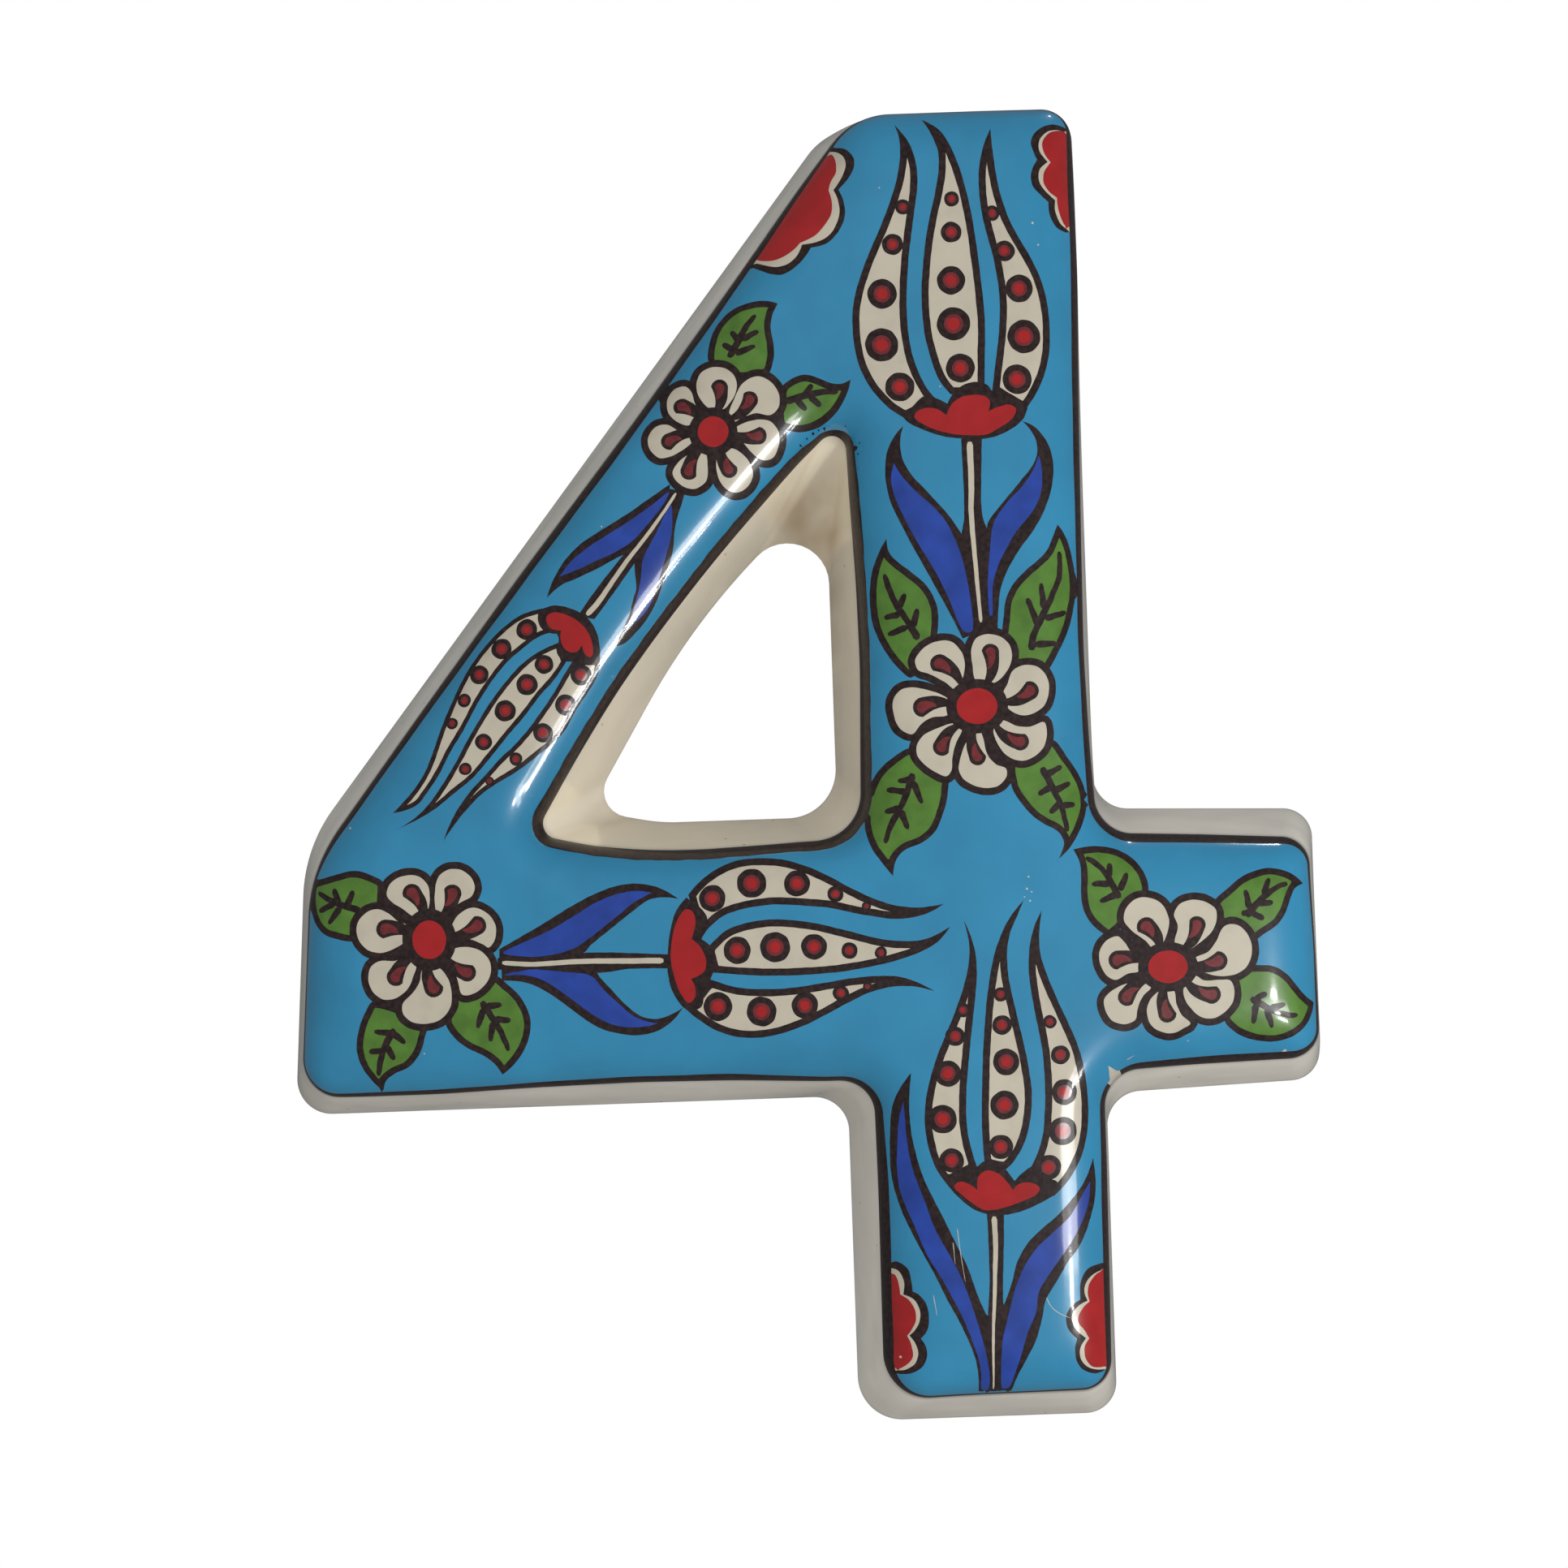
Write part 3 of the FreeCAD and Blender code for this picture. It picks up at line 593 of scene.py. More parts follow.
# Flowers of seven petals: centre, its radius and squash, the radius of the ring round it, then for each petal
# the ivory shape and its drop as head, tail and radius.
ROSETTES = [
    (
        (-27.75, 57.9), 1.66, 1.0, 2.64,
        [
            (
                [(-28.0, 60.7), (-29.1, 61.7), (-29.4, 63.1), (-28.9, 64.4), (-27.5, 64.95), (-26.0, 64.6),
                 (-25.1, 63.5), (-25.15, 62.1), (-26.0, 60.8), (-26.8, 60.5)],
                (-26.9, 62.6), (-27.5, 60.8), 0.64,
            ),
            (
                [(-25.7, 60.1), (-25.3, 61.4), (-24.4, 63.0), (-22.8, 63.7), (-21.4, 63.1), (-20.5, 61.7),
                 (-20.6, 60.3), (-21.6, 59.5), (-23.0, 59.75), (-24.3, 59.4), (-25.2, 59.0)],
                (-23.7, 61.2), (-25.2, 59.9), 0.64,
            ),
            (
                [(-24.9, 58.3), (-23.4, 59.0), (-21.6, 58.85), (-20.7, 57.8), (-20.7, 56.4), (-21.4, 55.1),
                 (-22.6, 54.85), (-23.7, 55.6), (-24.3, 56.5), (-25.0, 57.1)],
                (-22.9, 57.35), (-24.8, 57.8), 0.64,
            ),
            (
                [(-27.3, 54.9), (-27.5, 53.5), (-26.9, 52.1), (-25.7, 51.4), (-24.4, 51.9), (-23.6, 53.3),
                 (-24.1, 54.8), (-25.0, 55.65), (-25.8, 55.7)],
                (-26.2, 53.85), (-26.3, 55.7), 0.64,
            ),
            (
                [(-29.3, 55.8), (-30.5, 55.5), (-31.75, 54.6), (-32.3, 53.5), (-31.4, 52.25), (-30.0, 51.8),
                 (-28.7, 52.6), (-28.5, 54.2), (-28.7, 55.5)],
                (-30.5, 53.7), (-29.1, 55.5), 0.64,
            ),
            (
                [(-30.4, 57.7), (-31.6, 58.15), (-32.6, 58.9), (-33.9, 58.85), (-34.8, 57.8), (-34.7, 56.4),
                 (-33.7, 55.3), (-32.3, 55.45), (-30.9, 56.2), (-30.2, 56.9)],
                (-32.5, 57.05), (-30.5, 57.3), 0.64,
            ),
            (
                [(-29.2, 60.2), (-29.6, 61.0), (-30.0, 62.4), (-30.7, 63.1), (-31.75, 62.95), (-32.6, 61.9),
                 (-32.6, 60.5), (-31.9, 59.4), (-30.6, 58.7), (-29.8, 59.0)],
                (-31.05, 60.8), (-29.7, 59.4), 0.64,
            ),
        ],
    ),
    (
        (-0.3, 27.25), 2.2, 0.88, 3.355,
        [
            (
                [(-0.3, 30.0), (-0.65, 31.8), (-0.7, 33.4), (-0.1, 34.6), (1.15, 35.0), (2.6, 34.6),
                 (3.5, 33.6), (3.6, 32.1), (2.9, 30.7), (1.6, 29.7)],
                (1.35, 33.0), (0.75, 30.3), 0.66,
            ),
            (
                [(2.6, 28.6), (3.1, 29.6), (3.65, 30.9), (4.9, 31.5), (6.5, 31.25), (7.45, 30.0),
                 (7.55, 28.6),
                 (6.9, 27.0), (5.4, 26.15), (4.0, 26.25), (2.9, 27.15)],
                (5.45, 28.75), (3.3, 27.9), 0.72,
            ),
            (
                [(1.5, 24.4), (2.5, 25.5), (4.0, 24.95), (5.4, 24.85), (6.9, 25.3), (7.15, 23.9), (6.7, 22.5),
                 (5.4, 21.45), (4.2, 21.2), (2.75, 21.8), (1.9, 22.9)],
                (4.2, 23.3), (2.3, 24.7), 0.7,
            ),
            (
                [(-0.8, 24.2), (-1.7, 23.2), (-2.25, 21.8), (-2.5, 20.5), (-1.9, 19.3), (-0.3, 18.5),
                 (1.5, 18.5), (2.6, 19.5), (2.6, 20.4), (1.5, 20.9), (0.6, 22.1), (0.1, 24.0)],
                (-0.45, 21.8), (-0.65, 24.0), 0.64,
            ),
            (
                [(-2.3, 24.4), (-3.3, 25.2), (-4.9, 24.9), (-6.2, 24.3), (-6.95, 23.2), (-6.9, 22.1),
                 (-6.2, 21.2), (-5.2, 20.4), (-3.9, 19.8), (-3.3, 20.4), (-3.15, 21.8), (-2.8, 23.2)],
                (-4.25, 23.0), (-2.8, 24.5), 0.68,
            ),
            (
                [(-3.75, 27.6), (-3.9, 26.3), (-5.3, 26.2), (-6.4, 25.5), (-7.4, 24.5), (-8.7, 25.2),
                 (-9.3, 26.8), (-9.3, 28.2), (-8.5, 29.3), (-7.25, 29.55), (-5.3, 29.1), (-3.9, 28.4)],
                (-6.15, 27.35), (-3.9, 27.4), 0.78,
            ),
            (
                [(-2.7, 29.2), (-3.7, 30.0), (-5.3, 30.9), (-6.5, 31.4), (-6.8, 32.5), (-5.8, 33.75),
                 (-4.4, 34.4), (-2.8, 34.3), (-1.7, 33.0), (-1.5, 31.4), (-2.1, 29.9)],
                (-4.15, 31.95), (-2.55, 30.3), 0.76,
            ),
        ],
    ),
    (
        (-60.3, 4.1), 1.82, 1.15, 2.915,
        [
            (
                [(-61.9, 6.7), (-63.0, 7.5), (-64.4, 8.5), (-64.75, 9.3), (-64.2, 10.4), (-63.0, 11.05),
                 (-61.4, 11.05), (-60.3, 10.1), (-60.1, 8.7), (-60.3, 7.4), (-60.9, 7.0)],
                (-62.0, 9.2), (-61.2, 7.1), 0.72,
            ),
            (
                [(-59.4, 7.3), (-59.5, 9.2), (-59.1, 10.8), (-58.0, 11.6), (-56.6, 11.5), (-55.5, 10.6),
                 (-55.2, 9.5), (-55.6, 8.6), (-57.0, 7.9), (-58.3, 6.7), (-58.7, 6.7)],
                (-57.65, 9.0), (-58.95, 7.1), 0.7,
            ),
            (
                [(-57.8, 5.3), (-57.3, 6.4), (-56.4, 7.15), (-55.3, 7.4), (-53.9, 6.7), (-53.1, 5.4),
                 (-53.2, 3.9), (-53.9, 3.05), (-54.5, 3.4), (-55.9, 4.0), (-57.5, 4.2)],
                (-55.1, 5.45), (-57.5, 4.85), 0.74,
            ),
            (
                [(-58.2, 2.7), (-56.9, 3.2), (-55.3, 2.95), (-54.2, 2.15), (-53.75, 1.05), (-54.0, -0.35),
                 (-55.0, -1.45), (-56.1, -2.0), (-57.0, -1.9), (-57.3, -0.8), (-57.7, 0.45), (-58.7, 1.5)],
                (-56.35, 0.45), (-58.1, 2.0), 0.7,
            ),
            (
                [(-61.1, 0.9), (-61.55, -0.5), (-62.3, -1.6), (-63.4, -2.7), (-63.4, -3.8), (-62.5, -4.7),
                 (-60.9, -4.95), (-59.4, -4.55), (-58.3, -3.3), (-58.1, -1.75), (-58.4, -0.2), (-59.5, 1.1)],
                (-60.0, -1.1), (-60.3, 1.0), 0.74,
            ),
            (
                [(-62.7, 2.5), (-64.05, 1.95), (-65.6, 2.0), (-66.7, 1.4), (-67.05, 0.1), (-66.6, -1.3),
                 (-65.5, -2.15), (-64.05, -2.05), (-62.8, -1.1), (-62.2, 0.1), (-61.8, 1.6)],
                (-64.05, 0.2), (-62.3, 1.7), 0.7,
            ),
            (
                [(-62.6, 5.7), (-63.6, 6.2), (-64.7, 7.15), (-65.9, 7.6), (-67.2, 7.15), (-68.05, 6.05),
                 (-68.0, 4.5), (-67.0, 3.25), (-65.6, 2.85), (-64.2, 3.25), (-63.0, 4.0)],
                (-64.95, 5.4), (-62.9, 4.6), 0.76,
            ),
        ],
    ),
    (
        (19.33, -1.6), 2.13, 0.83, 3.245,
        [
            (
                [(17.7, 0.55), (16.9, 1.4), (15.5, 2.5), (14.75, 3.6), (15.1, 5.0), (16.3, 5.9), (17.7, 5.9),
                 (18.95, 5.15), (19.6, 3.6), (19.4, 2.2), (18.8, 1.0), (18.3, 0.9)],
                (17.15, 2.8), (18.1, 1.0), 0.76,
            ),
            (
                [(20.2, 1.0), (20.55, 2.8), (20.2, 4.0), (20.8, 5.1), (22.2, 5.55), (23.55, 5.3), (24.7, 4.4),
                 (24.7, 3.05), (24.0, 1.8), (22.7, 0.8), (21.8, 0.3), (21.3, 0.5)],
                (22.6, 2.8), (21.1, 0.8), 0.67,
            ),
            (
                [(22.4, -0.7), (23.7, -0.15), (24.7, 1.1), (25.4, 2.4), (26.3, 2.8), (27.4, 2.4), (28.3, 1.1),
                 (28.45, -0.4), (27.9, -1.8), (26.6, -2.65), (24.9, -2.8), (23.4, -2.4), (22.4, -1.7)],
                (24.75, -1.15), (22.5, -1.1), 0.75,
            ),
            (
                [(22.2, -2.7), (23.2, -3.2), (24.7, -3.2), (26.0, -3.3), (26.4, -4.3), (26.2, -5.7),
                 (25.2, -6.8), (24.0, -7.35), (22.7, -7.1), (21.6, -6.1), (21.0, -5.0), (21.0, -3.8)],
                (23.95, -4.75), (21.9, -3.4), 0.72,
            ),
            (
                [(18.2, -4.4), (17.3, -5.1), (16.9, -6.4), (17.3, -7.8), (18.4, -8.6), (19.7, -8.8),
                 (20.9, -8.3), (21.6, -7.8), (20.7, -6.9), (20.1, -5.6), (19.9, -4.3)],
                (19.1, -6.65), (19.1, -4.3), 0.7,
            ),
            (
                [(16.7, -3.1), (15.2, -3.15), (13.55, -3.75), (12.4, -4.7), (12.35, -5.8), (13.0, -7.1),
                 (14.4, -7.65), (15.6, -7.2), (15.9, -6.0), (16.5, -4.7), (17.3, -3.9)],
                (14.8, -4.7), (16.8, -3.4), 0.7,
            ),
            (
                [(16.4, -0.4), (15.4, 0.15), (14.7, 1.25), (13.95, 1.9), (12.7, 1.4), (12.0, 0.3),
                 (12.05, -1.1), (12.7, -2.35), (13.7, -2.8), (14.9, -2.2), (16.2, -1.9)],
                (13.95, -0.7), (16.2, -1.0), 0.74,
            ),
        ],
    ),
]

# Leaves: the dark outline, then the veins.
LEAVES = [
    (
        [(-20.3, 71.5, 1), (-21.6, 71.9), (-23.0, 71.9), (-24.8, 71.5), (-26.2, 70.6), (-27.3, 69.2),
         (-27.9, 67.4), (-28.0, 65.6), (-27.0, 63.8), (-21.8, 63.8), (-21.0, 65.3), (-20.9, 67.1),
         (-21.15, 68.9), (-20.9, 70.3)],
        [[(-25.8, 65.9), (-24.8, 67.4), (-24.0, 68.9), (-22.7, 70.4)], [(-24.6, 67.6), (-25.4, 68.8)],
         [(-24.3, 67.8), (-22.5, 68.6)], [(-25.1, 66.5), (-26.4, 67.5)], [(-25.0, 66.3), (-22.9, 67.0)]],
    ),
    (
        [(-12.7, 63.0, 1), (-13.7, 62.6), (-14.8, 62.7), (-16.2, 63.3), (-17.6, 63.7), (-19.1, 63.3),
         (-20.3, 62.2), (-20.6, 58.4), (-18.7, 57.8), (-17.3, 58.0), (-15.7, 58.7), (-14.2, 59.9),
         (-13.2, 61.4)],
        [[(-19.8, 60.9), (-17.6, 61.5), (-15.9, 61.8), (-14.1, 61.8)], [(-17.8, 61.4), (-16.9, 62.6)],
         [(-17.2, 61.4), (-16.0, 60.4)], [(-18.7, 61.2), (-17.6, 60.0)]],
    ),
    (
        [(-9.4, 45.8, 1), (-10.3, 44.3), (-11.0, 42.5), (-11.35, 40.4), (-11.35, 38.2), (-11.0, 36.1),
         (-10.1, 33.9), (-8.7, 31.8), (-7.2, 30.6), (-4.8, 33.4), (-4.3, 35.4), (-4.15, 37.5), (-4.6, 39.3),
         (-5.5, 40.7), (-6.9, 42.0), (-8.3, 43.2), (-9.2, 44.3)],
        [[(-6.4, 34.7), (-7.4, 36.6), (-8.4, 38.2), (-9.2, 40.0), (-9.75, 42.0)], [(-8.4, 38.2),
         (-7.6, 39.7)],
         [(-8.3, 37.5), (-9.9, 37.3)], [(-6.9, 36.0), (-6.35, 38.0)], [(-7.5, 36.1), (-9.6, 35.4)]],
    ),
    (
        [(9.2, 46.7, 1), (10.1, 45.4), (10.7, 43.6), (11.05, 41.4), (11.05, 39.3), (10.6, 37.1), (9.9, 35.0),
         (8.8, 32.9), (7.6, 31.0), (5.8, 29.4), (2.6, 31.2), (2.6, 34.4), (2.9, 36.8), (3.2, 38.6),
         (4.0, 40.2),
         (5.3, 41.6), (6.7, 42.7), (7.9, 43.9), (8.6, 45.4)],
        [[(5.8, 33.1), (6.1, 34.7), (7.2, 36.9), (8.3, 39.0), (9.2, 41.2), (9.25, 43.8)],
         [(7.3, 37.6), (7.1, 40.3)], [(7.4, 36.5), (9.8, 37.2)], [(6.7, 35.6), (5.55, 38.7)],
         [(6.2, 33.7), (8.7, 33.8)]],
    ),
    (
        [(-10.0, 9.2, 1), (-11.2, 10.8), (-12.2, 12.4), (-12.75, 14.2), (-12.8, 16.4), (-12.25, 18.6),
         (-11.35, 20.4), (-9.9, 21.8), (-7.4, 23.0), (-3.9, 20.6), (-3.8, 17.9), (-4.4, 15.7), (-5.3, 13.9),
         (-6.6, 12.8), (-8.6, 12.0), (-9.6, 11.0)],
        [[(-7.5, 20.2), (-8.3, 17.9), (-9.2, 16.1), (-10.1, 14.6), (-10.7, 12.8)], [(-9.0, 16.6),
         (-10.6, 16.2)],
         [(-8.9, 16.3), (-8.2, 14.2)], [(-8.2, 18.3), (-10.3, 18.6)], [(-7.5, 19.3), (-6.6, 17.0)],
         [(-7.6, 19.6), (-9.1, 19.5)]],
    ),
    (
        [(7.95, 10.5, 1), (8.4, 11.4), (8.55, 12.4), (7.9, 13.5), (6.5, 14.3), (5.1, 15.4), (4.0, 16.8),
         (3.1, 18.6), (3.2, 21.4), (7.6, 23.4), (9.4, 21.4), (10.6, 19.6), (11.3, 17.9), (11.4, 16.1),
         (10.8, 14.3), (9.9, 12.6), (8.9, 11.3)],
        [[(6.5, 20.4), (7.7, 17.9), (8.6, 15.7), (9.0, 13.4)], [(8.6, 16.2), (10.0, 16.3)],
         [(7.8, 17.8), (9.6, 18.7)], [(7.4, 18.3), (6.0, 17.5)], [(7.0, 19.6), (8.7, 20.5)],
         [(8.4, 16.6), (7.2, 15.4)]],
    ),
    (
        [(-73.3, 10.9, 1), (-72.2, 11.1), (-70.3, 11.5), (-68.3, 11.85), (-66.6, 11.4), (-65.0, 10.2),
         (-66.4, 4.6), (-68.75, 4.2), (-70.3, 4.5), (-71.9, 5.1), (-73.0, 6.4), (-73.5, 8.0), (-73.6, 9.5)],
        [[(-67.6, 7.4), (-68.6, 7.8), (-70.0, 8.3), (-71.3, 8.9), (-72.5, 9.7)], [(-70.0, 8.3),
         (-70.6, 10.0)],
         [(-69.1, 8.0), (-68.4, 9.7)], [(-70.5, 8.4), (-72.4, 7.6)], [(-69.9, 7.9), (-71.3, 6.2)]],
    ),
    (
        [(-66.25, -12.3, 1), (-67.2, -11.1), (-68.1, -9.6), (-68.6, -7.7), (-68.4, -5.8), (-67.7, -3.9),
         (-66.4, -2.3), (-61.0, -4.8), (-61.25, -6.75), (-61.9, -8.3), (-63.1, -9.6), (-64.7, -10.3),
         (-65.8, -11.1)],
        [[(-64.4, -5.4), (-65.5, -7.2), (-66.1, -8.8), (-66.5, -10.5)], [(-65.7, -7.7), (-67.3, -7.8)],
         [(-65.3, -7.2), (-64.6, -8.8)], [(-64.7, -5.9), (-66.6, -5.6)], [(-64.6, -5.8), (-63.3, -7.0)]],
    ),
    (
        [(-53.1, -10.85, 1), (-53.8, -9.6), (-55.0, -8.6), (-56.7, -7.7), (-58.1, -6.4), (-58.9, -4.7),
         (-57.6, -1.6), (-53.9, 0.2), (-51.7, -1.3), (-50.5, -2.7), (-49.75, -4.6), (-49.8, -6.4),
         (-50.6, -8.3),
         (-51.9, -9.9)],
        [[(-54.9, -2.8), (-53.6, -4.9), (-52.8, -6.4), (-52.2, -8.2)], [(-53.5, -4.7), (-51.8, -4.9)],
         [(-53.8, -5.1), (-54.1, -7.1)], [(-54.7, -3.5), (-55.4, -5.6)], [(-54.4, -3.3), (-52.7, -3.2)]],
    ),
    (
        [(9.55, 11.45, 1), (10.8, 11.65), (12.4, 11.7), (14.1, 11.4), (15.5, 10.7), (16.6, 9.6), (17.3, 8.3),
         (17.55, 6.9), (17.2, 5.8), (13.3, 1.9), (12.2, 2.4), (11.05, 3.6), (10.4, 5.0), (10.2, 6.7),
         (10.3, 8.3), (10.2, 10.0)],
        [[(14.3, 6.0), (13.8, 7.2), (13.1, 8.5), (12.2, 9.6), (10.9, 10.5)], [(13.3, 8.3), (13.5, 9.8)],
         [(13.5, 7.6), (11.4, 7.6)], [(14.4, 6.8), (15.3, 8.7)], [(14.1, 6.4), (12.2, 5.7)]],
    ),
    (
        [(34.7, 6.9, 1), (33.6, 7.8), (32.4, 8.4), (30.8, 8.7), (29.4, 8.5), (27.7, 7.85), (26.3, 6.8),
         (24.4, 4.8), (27.3, 0.4), (30.2, 1.8), (31.5, 2.65), (32.4, 3.9), (33.0, 5.3), (33.6, 6.4)],
        [[(28.0, 3.5), (29.2, 4.9), (30.3, 5.8), (31.5, 6.6), (32.7, 6.95)], [(30.0, 5.9), (30.7, 7.6)],
         [(28.4, 4.4), (28.0, 6.4)], [(29.3, 4.9), (31.0, 5.0)], [(28.4, 4.0), (27.5, 3.9)],
         [(28.6, 3.9), (29.9, 3.2)]],
    ),
    (
        [(35.5, -6.1, 1), (34.4, -5.3), (33.3, -4.05), (32.2, -2.8), (30.8, -1.95), (29.1, -1.75),
         (27.6, -1.9), (25.6, -3.8), (25.2, -7.4), (26.4, -8.9), (28.0, -9.7), (29.7, -10.1),
         (31.3, -10.1), (32.9, -9.6),
         (34.3, -8.6), (35.2, -7.2)],
        [[(28.2, -5.3), (28.9, -5.8), (30.3, -6.6), (31.9, -7.2), (33.4, -7.35)], [(29.9, -6.5),
         (30.5, -8.6)],
         [(28.7, -6.0), (28.4, -8.1)], [(28.6, -5.5), (29.9, -4.8)], [(30.3, -6.5), (32.0, -6.1)]],
    ),
]

